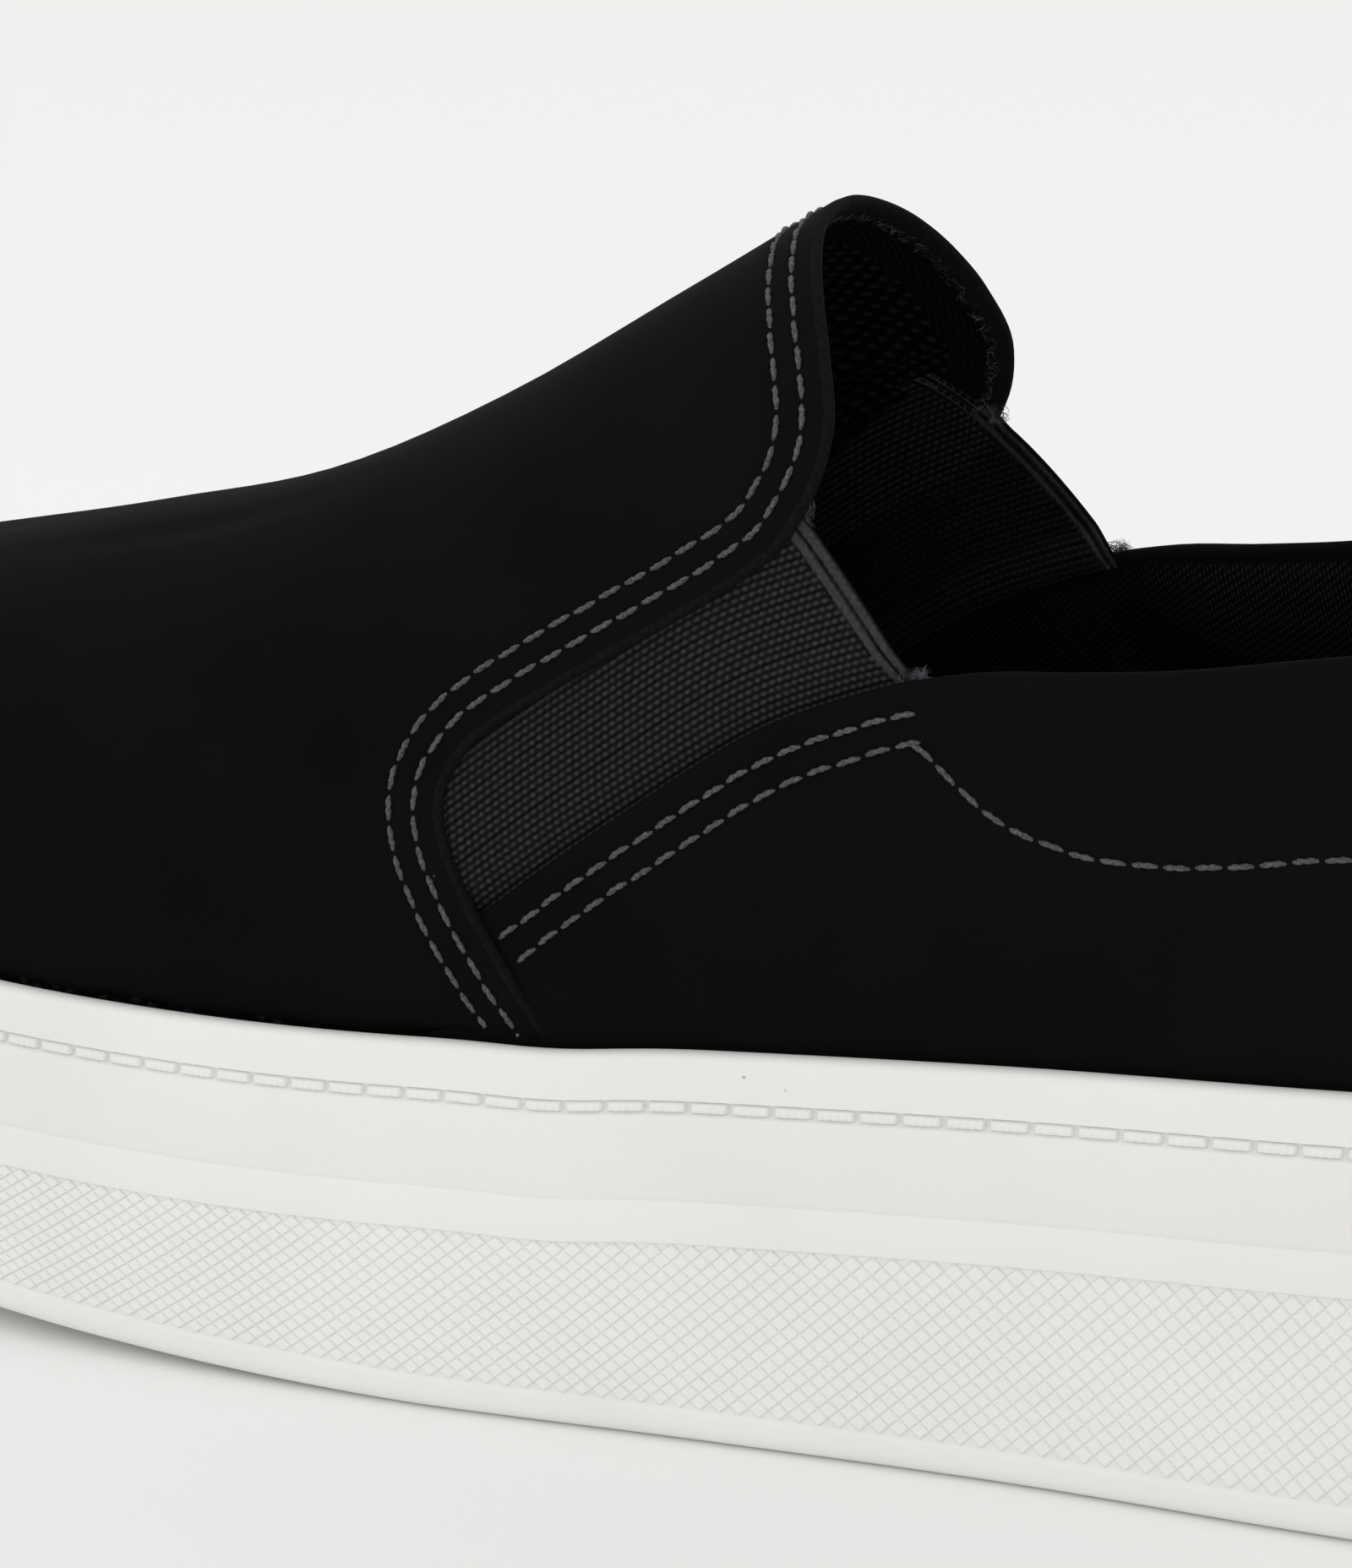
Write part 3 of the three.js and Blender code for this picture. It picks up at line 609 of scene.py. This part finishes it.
def moved(side, place, following, distance):
    """A place (along, up) on the last moved square to the edge that runs through it."""
    def at(s, up):
        return last(side * angle_at(LENGTH * s), up)

    s, up = place
    here = at(s, up)
    along_s, along_up = (at(s + 1e-3, up) - here) * 1e3, (at(s, up + 1e-3) - here) * 1e3
    edge = (at(*following) - here).normalized()
    way = along_s.cross(along_up).normalized().cross(edge).normalized() * distance
    ss, su, uu = along_s.dot(along_s), along_s.dot(along_up), along_up.dot(along_up)
    det = ss * uu - su * su
    ws, wu = way.dot(along_s), way.dot(along_up)
    return s + (uu * ws - su * wu) / det, up + (ss * wu - su * ws) / det


def vamp_place(side, up, distance):
    """A place on the vamp at a distance in from its rear edge."""
    edge = vamp_edge(up)
    if up > FLAP_TOP:
        return edge + distance / LENGTH, up
    near = min(up + 2e-3, 1.0)
    s, moved_up = moved(side, (edge, up), (vamp_edge(near), near), -distance)
    fade = smooth_step((FLAP_TOP - up) / FLAP_FADE)
    s = fade * s + (1 - fade) * (edge + distance / LENGTH)
    return s, up + (min(moved_up, 1.0) - up) * fade


def dent(distance):
    rows = (ROW_INNER, ROW_OUTER)
    return SINK * sum(math.exp(-(((distance - row) / DENT_HALF) ** 2)) for row in rows)


nubuck = new_material("black_synthetic_nubuck")
# Buffed microfibre gives almost no gloss: a soft black nap with a few pale fibres and
# dust specks on it.
coords = node(nubuck, "ShaderNodeTexCoord").outputs["Object"]
nap = node(nubuck, "ShaderNodeTexNoise", Vector=coords, Scale=3600.0, Detail=2.0)
brushed = node(nubuck, "ShaderNodeTexNoise", Vector=coords, Scale=45.0, Detail=5.0)
tone = ramp(nubuck, brushed.outputs["Fac"], [(0.3, "#09090a"), (0.75, "#0e0e0f")])
dust = node(nubuck, "ShaderNodeTexVoronoi", Vector=coords, Scale=170.0)
dust_spot = ramp(nubuck, dust.outputs["Distance"], [(0.018, 1.0), (0.028, 0.0)])
dust_pick = node(nubuck, "ShaderNodeTexNoise", Vector=coords, Scale=90.0, Detail=0.0)
dust_few = ramp(nubuck, dust_pick.outputs["Fac"], [(0.62, 0.0), (0.64, 0.6)])
dusty = node(nubuck, "ShaderNodeMath", {"operation": "MULTIPLY"}, i0=dust_spot, i1=dust_few)
skin = node(nubuck, "ShaderNodeMix", {"data_type": "RGBA"}, i0=dusty.outputs[0], i6=tone,
            i7=linear("#4a4946"))
shade(nubuck, skin.outputs[2], 0.9, nap.outputs["Fac"], 0.03, IOR=1.45,
      Specular_IOR_Level=0.05)

cut_edge = new_material("nubuck_cut_edge")
# Where the knife cut it, the microfibre shows its grey core and a rougher nap.
coords = node(cut_edge, "ShaderNodeTexCoord").outputs["Object"]
fuzz = node(cut_edge, "ShaderNodeTexNoise", Vector=coords, Scale=2400.0, Detail=4.0)
tone = ramp(cut_edge, fuzz.outputs["Fac"], [(0.3, "#0e0e0f"), (0.8, "#19191a")])
shade(cut_edge, tone, 0.95, fuzz.outputs["Fac"], 0.06, IOR=1.45, Specular_IOR_Level=0.05)

VAMP_BORDER = [0.0, 0.06, 0.2, 0.42, 0.7, 1.2, 1.9, 2.4, 2.7, 2.9, 3.1, 3.4, 4.0, 4.8, 5.1,
               5.4, 5.6, 5.9, 6.5, 8.0]
TURNED_UNDER = [(8, -0.3), (3, -0.27), (0, 0.1)]
CREASES = [
    # along and up the outer side, half sizes, depth
    (182, 0.82, 16, 0.04, 0.35), (150, 0.62, 5, 0.2, 0.25), (166, 0.7, 4, 0.14, 0.2),
]
VAMP_RUN = 90
VAMP_ROWS = 96
SKIRT_DEEP = 5.0
PAST_BORDER = 99.0


def vamp_out(distance, up):
    roll = 0.0
    if distance < ROLL:
        roll = ROLL - math.sqrt(max(0.0, ROLL**2 - (ROLL - distance) ** 2))
    swell = OVERLAY + (FOOT_SWELL - OVERLAY) * (1 - smooth_step(up / FOOT_UP))
    return swell - roll - dent(distance)


borders = {}
for j in range(VAMP_ROWS + 1):
    up = j / VAMP_ROWS
    for side in (1, -1):
        borders[j, side] = [vamp_place(side, up, d) for d in VAMP_BORDER]


def vamp_point(i, j, out=None):
    """Columns: turned under, the outer border, round the toe, the inner border."""
    count = len(VAMP_BORDER)
    under = len(TURNED_UNDER) - 1
    row = max(0, j - 1)
    up = row / VAMP_ROWS
    side = 1 if i <= vamp_columns / 2 else -1
    k = (i if side > 0 else vamp_columns - i) - under
    if k <= 0:
        border, turned = TURNED_UNDER[k + under]
        s, place_up = borders[row, side][border]
        distance = None
    elif k <= count:
        s, place_up = borders[row, side][k - 1]
        distance = VAMP_BORDER[k - 1]
    else:
        s, place_up = borders[row, side][-1]
        distance = PAST_BORDER
    angle = angle_at(LENGTH * s)
    if k > count:
        share = (k - count) / (VAMP_RUN / 2 + 0.5)
        angle += (math.pi - angle) * share
        place_up += (up - place_up) * smooth_step(share * 3)
    offset = turned if distance is None else vamp_out(distance, place_up)
    if distance == PAST_BORDER and side > 0:
        x = outline(angle)[0]
        for mid_x, mid_up, half_x, half_up, depth in CREASES:
            away = ((x - mid_x) / half_x) ** 2 + ((place_up - mid_up) / half_up) ** 2
            offset -= depth * math.exp(-away)
    if out is not None:
        offset = out
    if j == 0:
        x, y = outline(side * angle, FOOT_INSET - offset)
        return x, y, lip_z(x) - SKIRT_DEEP
    return off_last(side * angle, place_up, offset)


def on_cut_edge(i):
    return 1 if min(i, vamp_columns - 1 - i) < len(TURNED_UNDER) + 4 else 0


vamp_columns = 2 * (len(VAMP_BORDER) + len(TURNED_UNDER) - 1) + VAMP_RUN + 1
vamp_bm = grid_mesh(vamp_columns, VAMP_ROWS + 1, vamp_point, paint=on_cut_edge)
bmesh.ops.recalc_face_normals(vamp_bm, faces=vamp_bm.faces)
vamp = finish_mesh(vamp_bm, "vamp", nubuck)
vamp.data.materials.append(cut_edge)
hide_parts("upper")

# Quarters: the sides and back in the same nubuck, in one with the rim of the padded
# collar, which turns over a foam strip and is closed by a row of thread below it.
QUARTER_EDGE = [
    # along, rib, seam
    (0.0, 0.425, 0.6), (0.08, 0.412, 0.61), (0.15, 0.388, 0.61), (0.209, 0.37, 0.6),
    (0.265, 0.359, 0.58), (0.3, 0.357, 0.6), (0.33, 0.353, 0.68), (0.357, 0.336, 0.85),
    (0.39, 0.303, 0.92), (0.41, 0.282, 0.92), (0.454, 0.219, 0.92), (0.487, 0.17, 0.92),
    (0.516, 0.118, 0.92), (0.54, 0.07, 0.92),
]
quarter_edge, collar_seam = column(QUARTER_EDGE, 0, 1), column(QUARTER_EDGE, 0, 2)
WALL = 2.0
PAD_IN = 3.2
PAD_OUT = 0.7
COLLAR_END = 0.36
QUARTER_REACH = angle_at(LENGTH * 0.538)
QUARTER_COLUMNS = 220
RIM_TURNS = 8
HEEL_END = 0.02
HEEL_CLIMB = 105
QUARTER_BORDER = [2.0, 2.4, 2.7, 2.9, 3.1, 3.4, 4.2, 5.1, 5.4, 5.6, 6.0, 7.0]
QUARTER_ROWS = 40


def quarter_place(angle, distance):
    """A place on the quarter at a distance down from its top edge."""
    side = 1 if angle >= 0 else -1
    s = (1 - math.cos(angle)) / 2
    if s < HEEL_END:
        return angle, quarter_edge(s) - distance / HEEL_CLIMB
    t = s - 1e-3
    ms, mu = moved(side, (s, quarter_edge(s)), (t, quarter_edge(t)), distance)
    steep = smooth_step((s - HEEL_END) / 0.06)
    ms = s + (ms - s) * steep
    return side * angle_at(LENGTH * max(0.0, ms)), mu


def pad_share(angle, up):
    s = (1 - math.cos(angle)) / 2
    top = quarter_edge(s)
    seam = top * collar_seam(s)
    fade = smooth_step((COLLAR_END - s) / 0.05)
    share = min(1.0, max(0.0, (up - seam) / max(1e-6, top - seam)))
    return fade * math.sin(math.pi * share) ** 0.8


def rim_half(s):
    return 0.6 + 0.4 * smooth_step((0.37 - s) / 0.03)


def front_dent(s, distance):
    return dent(distance) * smooth_step((s - 0.352) / 0.01)


def quarter_point(i, j):
    """Rows: skirt, wall from the foot, border under the edge, over the rim, 2 mm inside."""
    angle = QUARTER_REACH * (2 * i / QUARTER_COLUMNS - 1)
    s = (1 - math.cos(angle)) / 2
    lowest_angle, lowest_up = quarter_place(angle, QUARTER_BORDER[-1])
    half = rim_half(s)
    if j <= QUARTER_ROWS:
        k = max(0, j - 1) / (QUARTER_ROWS - 1)
        place_angle = angle + (lowest_angle - angle) * smooth_step(k)
        up = max(0.0, lowest_up) * k
        offset = FOOT_SWELL * (1 - smooth_step(up / FOOT_UP)) + PAD_OUT * pad_share(place_angle, up)
        if j == 0:
            x, y = outline(angle, FOOT_INSET - FOOT_SWELL)
            return x, y, lip_z(x) - SKIRT_DEEP
        return off_last(place_angle, up, offset)
    k = j - QUARTER_ROWS - 1
    if k < len(QUARTER_BORDER):
        distance = QUARTER_BORDER[-1 - k]
        place_angle, up = quarter_place(angle, distance)
        up = max(0.0, up)
        offset = PAD_OUT * pad_share(place_angle, up) - front_dent(s, distance)
        offset += FOOT_SWELL * (1 - smooth_step(up / FOOT_UP))
        return off_last(place_angle, up, offset)
    k -= len(QUARTER_BORDER)
    turn_angle = math.pi * min(1.0, k / RIM_TURNS)
    distance = half * (1 - math.sin(turn_angle)) + (2.0 if k > RIM_TURNS else 0.0)
    place_angle, up = quarter_place(angle, distance)
    return off_last(place_angle, max(0.0, up), half * (math.cos(turn_angle) - 1))


quarter_rows = QUARTER_ROWS + len(QUARTER_BORDER) + RIM_TURNS + 2
quarter_bm = grid_mesh(QUARTER_COLUMNS, quarter_rows, quarter_point)
bmesh.ops.recalc_face_normals(quarter_bm, faces=quarter_bm.faces)
quarters = finish_mesh(quarter_bm, "quarters", nubuck)
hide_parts("upper")

# Lining: black cotton twill glued inside vamp, quarters and collar, turned in at the rim.
TWILL_PITCH = 0.75
twill = new_material("black_cotton_twill")
# Cotton twill shows fine slanting cords and stays matt; it reads faintly blue in the light.
uv = node(twill, "ShaderNodeUVMap", {"uv_map": "surface"}).outputs["UV"]
slant = node(twill, "ShaderNodeMapping", Vector=uv, Rotation=(0, 0, math.radians(62)))
cords = node(twill, "ShaderNodeTexWave", {"bands_direction": "X"}, Vector=slant.outputs["Vector"],
             Scale=math.tau / 20 / TWILL_PITCH, Distortion=0.6, Detail=1.0, Detail_Scale=4.0)
threads = node(twill, "ShaderNodeTexWave", {"bands_direction": "Y"},
               Vector=slant.outputs["Vector"], Scale=math.tau / 20 / 0.5, Distortion=1.0)
weave = node(twill, "ShaderNodeMath", {"operation": "MULTIPLY"}, i0=cords.outputs["Fac"],
             i1=threads.outputs["Fac"])
tone = ramp(twill, weave.outputs[0], [(0.1, "#040405"), (0.8, "#1d1d25")])
shade(twill, tone, 0.95, weave.outputs[0], 0.2, IOR=1.45, Specular_IOR_Level=0.05)


def lining_uv(i, j):
    return i * 2.4, j * 1.3


LINING_START = 10
LINING_OFFSET = -0.35


def vamp_lining_point(i, j):
    row = max(0, 4 * (j - 1))
    k = min(vamp_columns - LINING_START, LINING_START + 2 * i)
    return vamp_point(k, 0 if j == 0 else row + 1, out=LINING_OFFSET)


lining_columns = (vamp_columns + 1) // 2 - LINING_START
lining_bm = grid_mesh(lining_columns, VAMP_ROWS // 4 + 1, vamp_lining_point, uv=lining_uv)
bmesh.ops.recalc_face_normals(lining_bm, faces=lining_bm.faces)
vamp_lining = finish_mesh(lining_bm, "vamp_lining", twill)
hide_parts("upper")

LINING_ROWS = 30


def quarter_lining_point(i, j):
    angle = QUARTER_REACH * (2 * i / QUARTER_COLUMNS - 1) * 0.985
    s = (1 - math.cos(angle)) / 2
    start_angle, start_up = quarter_place(angle, 1.6)
    k = max(0, j - 1) / (LINING_ROWS - 1)
    up = max(0.0, start_up) * k
    place_angle = angle + (start_angle - angle) * k
    pad = PAD_IN * pad_share(place_angle, up)
    offset = -2 * rim_half(s) * smooth_step((1 - k) * 12 + 0.7) - pad
    if j == 0:
        x, y = outline(angle, FOOT_INSET + WALL)
        return x, y, lip_z(x) - CUP_DEPTH + 0.5
    return off_last(place_angle, up, min(offset, -0.9))


lining_bm = grid_mesh(QUARTER_COLUMNS, LINING_ROWS, quarter_lining_point, uv=lining_uv)
bmesh.ops.recalc_face_normals(lining_bm, faces=lining_bm.faces)
quarter_lining = finish_mesh(lining_bm, "quarter_lining", twill)
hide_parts("upper")

# Gores: woven elastic let in between vamp and quarters. Its cords lie side by side along
# the quarter's edge, with a beaded weave over them, and a selvage of two thick twisted
# cords closes its free top edge.
GORE_CORD = 0.69
GORE_BEAD = 0.82
GORE_TOP = 0.468
GORE_ACROSS = 24.0
GORE_COLUMNS = 220
GORE_ROWS = 170
SELVAGE_CORD = 1.15
GORE_SUNK = 0.45
GORE_RELIEF = 0.3
GORE_UNDER = 1.1
GORE_UNDER_TO = 3.6
QUARTER_CORNER = 0.357
TUCK = 1.6
elastic = new_material("woven_elastic_charcoal")
# Covered rubber cords: charcoal yarn with a dull sheen; the colour follows the cords' height, with
# painted shade in the valleys and painted light on the crowns.
coords = node(elastic, "ShaderNodeTexCoord").outputs["Object"]
yarn = node(elastic, "ShaderNodeTexNoise", Vector=coords, Scale=2600.0, Detail=4.0)
hollow = node(elastic, "ShaderNodeAttribute", {"attribute_name": "height"}).outputs["Fac"]
# Painted shade in the valleys between the cords and painted light on their crowns, read from the
# cords' height
painted_cord_shade_and_light = ramp(elastic, hollow, [(0.12, "#030303"), (0.5, "#121213"), (0.95, "#363638")])
fleck = ramp(elastic, yarn.outputs["Fac"], [(0.35, 0.7), (0.7, 1.25)])
tone = node(elastic, "ShaderNodeMix", {"data_type": "RGBA", "blend_type": "MULTIPLY"}, i0=1.0,
            i6=painted_cord_shade_and_light, i7=fleck)
shade(elastic, tone.outputs[2], 0.8, yarn.outputs["Fac"], 0.05, IOR=1.5,
      Specular_IOR_Level=0.1)

LAY_COLUMNS = 48
LAY_ROWS = 10
LAY_FROM = 0.345
LAY_REACH = 0.2


def gore_lay(side):
    """Rows of places, each stepped off the one before, side by side with the quarter."""
    row = []
    for c in range(LAY_COLUMNS + 1):
        s = LAY_FROM + LAY_REACH * c / LAY_COLUMNS
        behind = s - 1e-3
        row.append(moved(side, (s, quarter_edge(s)), (behind, quarter_edge(behind)), TUCK))
    rows = [row]
    step = (GORE_ACROSS + TUCK) / LAY_ROWS
    for _ in range(LAY_ROWS):
        behind = [tuple(2 * row[0][n] - row[1][n] for n in (0, 1))] + row[:-1]
        row = [moved(side, place, back, -step) for place, back in zip(row, behind)]
        rows.append(row)
    return rows


def gore_piece(side, name, solid):
    rows = gore_lay(side)
    spots = [last(side * angle_at(LENGTH * s), up) for s, up in rows[0]]
    spacing = sum((b - a).length for a, b in zip(spots, spots[1:])) / LAY_COLUMNS
    corner_up, tip_s = quarter_edge(QUARTER_CORNER), vamp_edge(GORE_TOP)

    def lay(c, k):
        c0, k0 = min(int(c), LAY_COLUMNS - 1), min(int(k), LAY_ROWS - 1)
        u, w = c - c0, k - k0
        places = []
        for n in (0, 1):
            low = rows[k0][c0][n] * (1 - u) + rows[k0][c0 + 1][n] * u
            high = rows[k0 + 1][c0][n] * (1 - u) + rows[k0 + 1][c0 + 1][n] * u
            places.append(low * (1 - w) + high * w)
        return places

    def free_edge(k):
        """The column where a row meets the line from the quarter's corner to the flap."""
        before = None
        for c in range(LAY_COLUMNS + 1):
            s, up = lay(c, k)
            now = (s - QUARTER_CORNER) * (GORE_TOP - corner_up)
            now -= (up - corner_up) * (tip_s - QUARTER_CORNER)
            if now > 0:
                return 0.0 if before is None else c - now / (now - before)
            before = now
        return LAY_COLUMNS

    ends = []
    for j in range(GORE_ROWS + 1):
        k = j / GORE_ROWS * LAY_ROWS
        free = free_edge(k)
        shown = [c for c in range(LAY_COLUMNS + 1) if lay(c, k)[0] < vamp_edge(lay(c, k)[1])]
        front = max([c for c in shown if c > free], default=free) + 1 + (TUCK + 1) / spacing
        if ends:
            front = max(front, ends[-1][1] - 0.4)
        ends.append((free, min(LAY_COLUMNS, front)))
    heights = {}

    def point(i, j):
        free, front = ends[j]
        c = front + (free - front) * i / GORE_COLUMNS
        s, up = lay(c, j / GORE_ROWS * LAY_ROWS)
        along, across = c * spacing, j / GORE_ROWS * (GORE_ACROSS + TUCK) - TUCK
        cord = abs(math.cos(math.pi * across / GORE_CORD))
        shift = 0.5 * (math.floor(across / GORE_CORD + 0.5) % 2)
        bead = 0.5 + 0.5 * math.cos(math.tau * (along / GORE_BEAD + shift))
        height = cord**0.7 * (0.55 + 0.45 * bead)
        to_edge = (c - free) * spacing
        if to_edge < 2 * SELVAGE_CORD:
            welt = abs(math.sin(math.pi * to_edge / SELVAGE_CORD)) ** 0.6
            ply = abs(math.cos(math.pi * across / 0.8 + to_edge * 3))
            height = welt * (1 + 0.25 * ply)
        heights[i, j] = height
        ahead = (s - vamp_edge(up)) * LENGTH
        under = smooth_step((0.6 * ahead + 1.2) / 1.2)
        offset = 0.3 * under - GORE_SUNK
        offset -= GORE_UNDER * smooth_step((GORE_UNDER_TO - across) / 4)
        offset += GORE_RELIEF * height * (1 - 0.7 * under)
        return off_last(side * angle_at(LENGTH * s), up, offset)

    bm = grid_mesh(GORE_COLUMNS, GORE_ROWS, point, join=False)
    if side < 0:
        bmesh.ops.reverse_faces(bm, faces=bm.faces[:])
    gore_object = finish_mesh(bm, name, elastic)
    # The cords' height, which the elastic's colour reads for its painted shade and painted light
    attribute = gore_object.data.attributes.new("height", "FLOAT", "POINT")
    for index in range(len(gore_object.data.vertices)):
        i, j = index % (GORE_COLUMNS + 1), index // (GORE_COLUMNS + 1)
        attribute.data[index].value = heights[i, j]
    backing = gore_object.modifiers.new("backing", "SOLIDIFY")
    backing.thickness = 0.3 * MM
    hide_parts(solid)


gore_piece(1, "elastic_outer", "gore_outer")
gore_piece(-1, "elastic_inner", "gore_inner")

# Thread: waxed grey polyester, two plies twisted together. Each stitch is a short bowed
# tube that dips into the nubuck at both ends.
STITCH_PITCH = 2.9
STITCH_LONG = 2.55
THREAD_HALF = 0.26
THREAD_SIDES = 8
THREAD_STEPS = 12
thread = new_material("twisted_polyester_thread")
coords = node(thread, "ShaderNodeTexCoord").outputs["Object"]
fibres = node(thread, "ShaderNodeTexNoise", Vector=coords, Scale=3800.0, Detail=3.0)
tone = ramp(thread, fibres.outputs["Fac"], [(0.3, "#2c2c2d"), (0.7, "#5e5e61")])
shade(thread, tone, 0.6, fibres.outputs["Fac"], 0.04, IOR=1.5, Specular_IOR_Level=0.25)


def path_reader(path):
    """Reads a path of (angle, up, offset) places on the last by the way along it."""
    points = [off_last(*place) for place in path]
    normals = [last_normal(place[0], place[1]) for place in path]
    way = [0.0]
    for a, b in zip(points, points[1:]):
        way.append(way[-1] + (b - a).length)

    def at(distance):
        k = 0
        while k < len(way) - 2 and way[k + 1] < distance:
            k += 1
        share = (distance - way[k]) / max(1e-9, way[k + 1] - way[k])
        tangent = (points[k + 1] - points[k]).normalized()
        return points[k].lerp(points[k + 1], share), normals[k], tangent

    return at, way[-1]


def thread_tubes(count, steps, sides):
    """Flat grids, one for each tube, that stand 2 apart in x and are rolled up later."""
    bm = bmesh.new()
    bmesh.ops.create_grid(bm, x_segments=steps, y_segments=sides, size=0.5)
    bmesh.ops.spin(bm, geom=bm.verts[:] + bm.edges[:] + bm.faces[:], axis=(0, 0, 1),
                   cent=(0, 0, 0), dvec=(2, 0, 0), angle=0, steps=max(1, count - 1),
                   use_duplicate=True)
    return bm


def seam_stitches(name, path):
    at, long = path_reader(path)
    count = max(1, round(long / STITCH_PITCH))
    pitch = long / count
    bm = thread_tubes(count, THREAD_STEPS, THREAD_SIDES)
    for v in bm.verts:
        stitch = round(v.co.x / 2)
        u, around = v.co.x - 2 * stitch, v.co.y * math.tau
        centre, up, tangent = at((stitch + 0.5) * pitch + u * STITCH_LONG)
        across = tangent.cross(up).normalized()
        taper = math.sqrt(max(0.0, 1 - (2 * abs(u)) ** 6))
        twist = 1 + 0.2 * math.cos(2 * around - 5.5 * math.pi * u)
        radius = THREAD_HALF * (0.25 + 0.75 * taper) * twist
        bow = 0.30 * (1 - (2 * u) ** 2) - 0.1
        sway = 0.12 * math.cos(math.pi * u) + 0.05 * math.sin(stitch * 2.4)
        v.co = in_frame(centre + up * (bow + radius * math.cos(around))
                        + across * (sway + radius * math.sin(around)))
    bmesh.ops.remove_doubles(bm, verts=bm.verts, dist=1e-6)
    bmesh.ops.recalc_face_normals(bm, faces=bm.faces)
    finish_mesh(bm, name, thread)


PATH_STEPS = 120
QUARTER_SEAM_END = 0.516
for row_name, distance in (("inner", ROW_INNER), ("outer", ROW_OUTER)):
    path = []
    for k in range(PATH_STEPS + 1):
        share = 2 * k / PATH_STEPS - 1
        side = 1 if share < 0 else -1
        up = 1 - abs(share)
        s, place_up = vamp_place(side, up, distance)
        path.append((side * angle_at(LENGTH * s), place_up, vamp_out(distance, place_up)))
    seam_stitches("vamp_seam_" + row_name, path)
    for side, side_name in ((1, "outer_side"), (-1, "inner_side")):
        path = []
        for k in range(PATH_STEPS + 1):
            s = QUARTER_CORNER + (QUARTER_SEAM_END - QUARTER_CORNER) * k / PATH_STEPS
            angle, up = quarter_place(side * angle_at(LENGTH * s), distance)
            path.append((angle, up, -front_dent(s, distance)))
        seam_stitches("quarter_seam_%s_%s" % (row_name, side_name), path)
collar_path = []
for k in range(2 * PATH_STEPS + 1):
    angle = angle_at(LENGTH * QUARTER_CORNER) * (k / PATH_STEPS - 1)
    s = (1 - math.cos(angle)) / 2
    up = quarter_edge(s) * collar_seam(s)
    collar_path.append((angle, up, 0.0))
seam_stitches("collar_seam", collar_path)

# Fluff: where the lining is cut it frays, and short pale fibres stand off its edge inside
# the flap and along the quarters, most of all at the corners of the gores.
FIBRE_HALF = 0.035
FRAY_END = 0.5
fluff = new_material("frayed_cotton_fibre")
coords = node(fluff, "ShaderNodeTexCoord").outputs["Object"]
shreds = node(fluff, "ShaderNodeTexNoise", Vector=coords, Scale=900.0, Detail=2.0)
tone = ramp(fluff, shreds.outputs["Fac"], [(0.35, "#1a1a1d"), (0.7, "#6c6c72")])
shade(fluff, tone, 0.9, shreds.outputs["Fac"], 0.02, IOR=1.45, Specular_IOR_Level=0.1)


def frayed_edge(name, path, per_mm, length, spread):
    at, long = path_reader(path)
    count = max(2, round(long * per_mm))
    bm = thread_tubes(count, 4, 3)
    for v in bm.verts:
        fibre = round(v.co.x / 2)
        u, around = v.co.x - 2 * fibre, v.co.y * math.tau
        chance = [math.sin((fibre + 1) * f) * 437.58 % 1 for f in (12.9898, 78.233, 37.719)]
        centre, up, tangent = at(long * (fibre + chance[0]) / (count + 1))
        across = tangent.cross(up).normalized()
        turn_angle = math.pi * (chance[1] - 0.5)
        lie = tangent * math.cos(turn_angle) + across * math.sin(turn_angle)
        lie += up * (0.8 * (chance[2] - 0.5))
        side_way = lie.cross(up).normalized()
        radius = FIBRE_HALF * (1.2 - 1.6 * abs(u))
        curl = (chance[0] - 0.5) * length * (1 - 4 * u * u)
        spot = centre + across * (spread * (chance[2] - 0.5)) + lie * (u * length)
        spot += side_way * (curl + radius * math.cos(around)) + up * (radius * math.sin(around))
        v.co = in_frame(spot)
    finish_mesh(bm, name, fluff)


flap_path = []
for k in range(PATH_STEPS + 1):
    share = 2 * k / PATH_STEPS - 1
    side = 1 if share < 0 else -1
    up = 1 - 0.55 * abs(share)
    s, place_up = vamp_place(side, up, 2.2)
    flap_path.append((side * angle_at(LENGTH * s), place_up, -0.45))
frayed_edge("flap_fluff", flap_path, 3.5, 1.3, 0.5)
for side, side_name in ((1, "outer_side"), (-1, "inner_side")):
    edge_path = []
    for k in range(PATH_STEPS + 1):
        s = QUARTER_CORNER + (FRAY_END - QUARTER_CORNER) * k / PATH_STEPS
        angle, up = quarter_place(side * angle_at(LENGTH * s), 0.6)
        edge_path.append((angle, up, -1.35))
    frayed_edge("quarter_fluff_" + side_name, edge_path, 2.5, 1.1, 0.4)
    corner = [(side * angle_at(LENGTH * s), quarter_edge(s), -0.9) for s in (0.352, 0.36)]
    frayed_edge("corner_fluff_" + side_name, corner, 45, 1.6, 1.2)
    tip_s, tip_up = vamp_place(side, GORE_TOP, 0.2)
    tip = [(side * angle_at(LENGTH * tip_s), tip_up + shift, -0.4) for shift in (-0.01, 0.012)]
    frayed_edge("gore_fluff_" + side_name, tip, 30, 1.6, 1.2)

# Insole: a foam footbed covered in the same black twill, lying in the cup
footbed = new_material("footbed_twill")
coords = node(footbed, "ShaderNodeTexCoord").outputs["Object"]
ribs = node(footbed, "ShaderNodeTexWave", {"bands_direction": "DIAGONAL"}, Vector=coords,
            Scale=180.0, Distortion=1.0)
tone = ramp(footbed, ribs.outputs["Fac"], [(0.2, "#0c0c0f"), (0.8, "#1c1c22")])
shade(footbed, tone, 0.95, ribs.outputs["Fac"], 0.15, IOR=1.45, Specular_IOR_Level=0.15)
insole_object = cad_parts["insole"]
insole_object.data.materials.clear()
insole_object.data.materials.append(footbed)
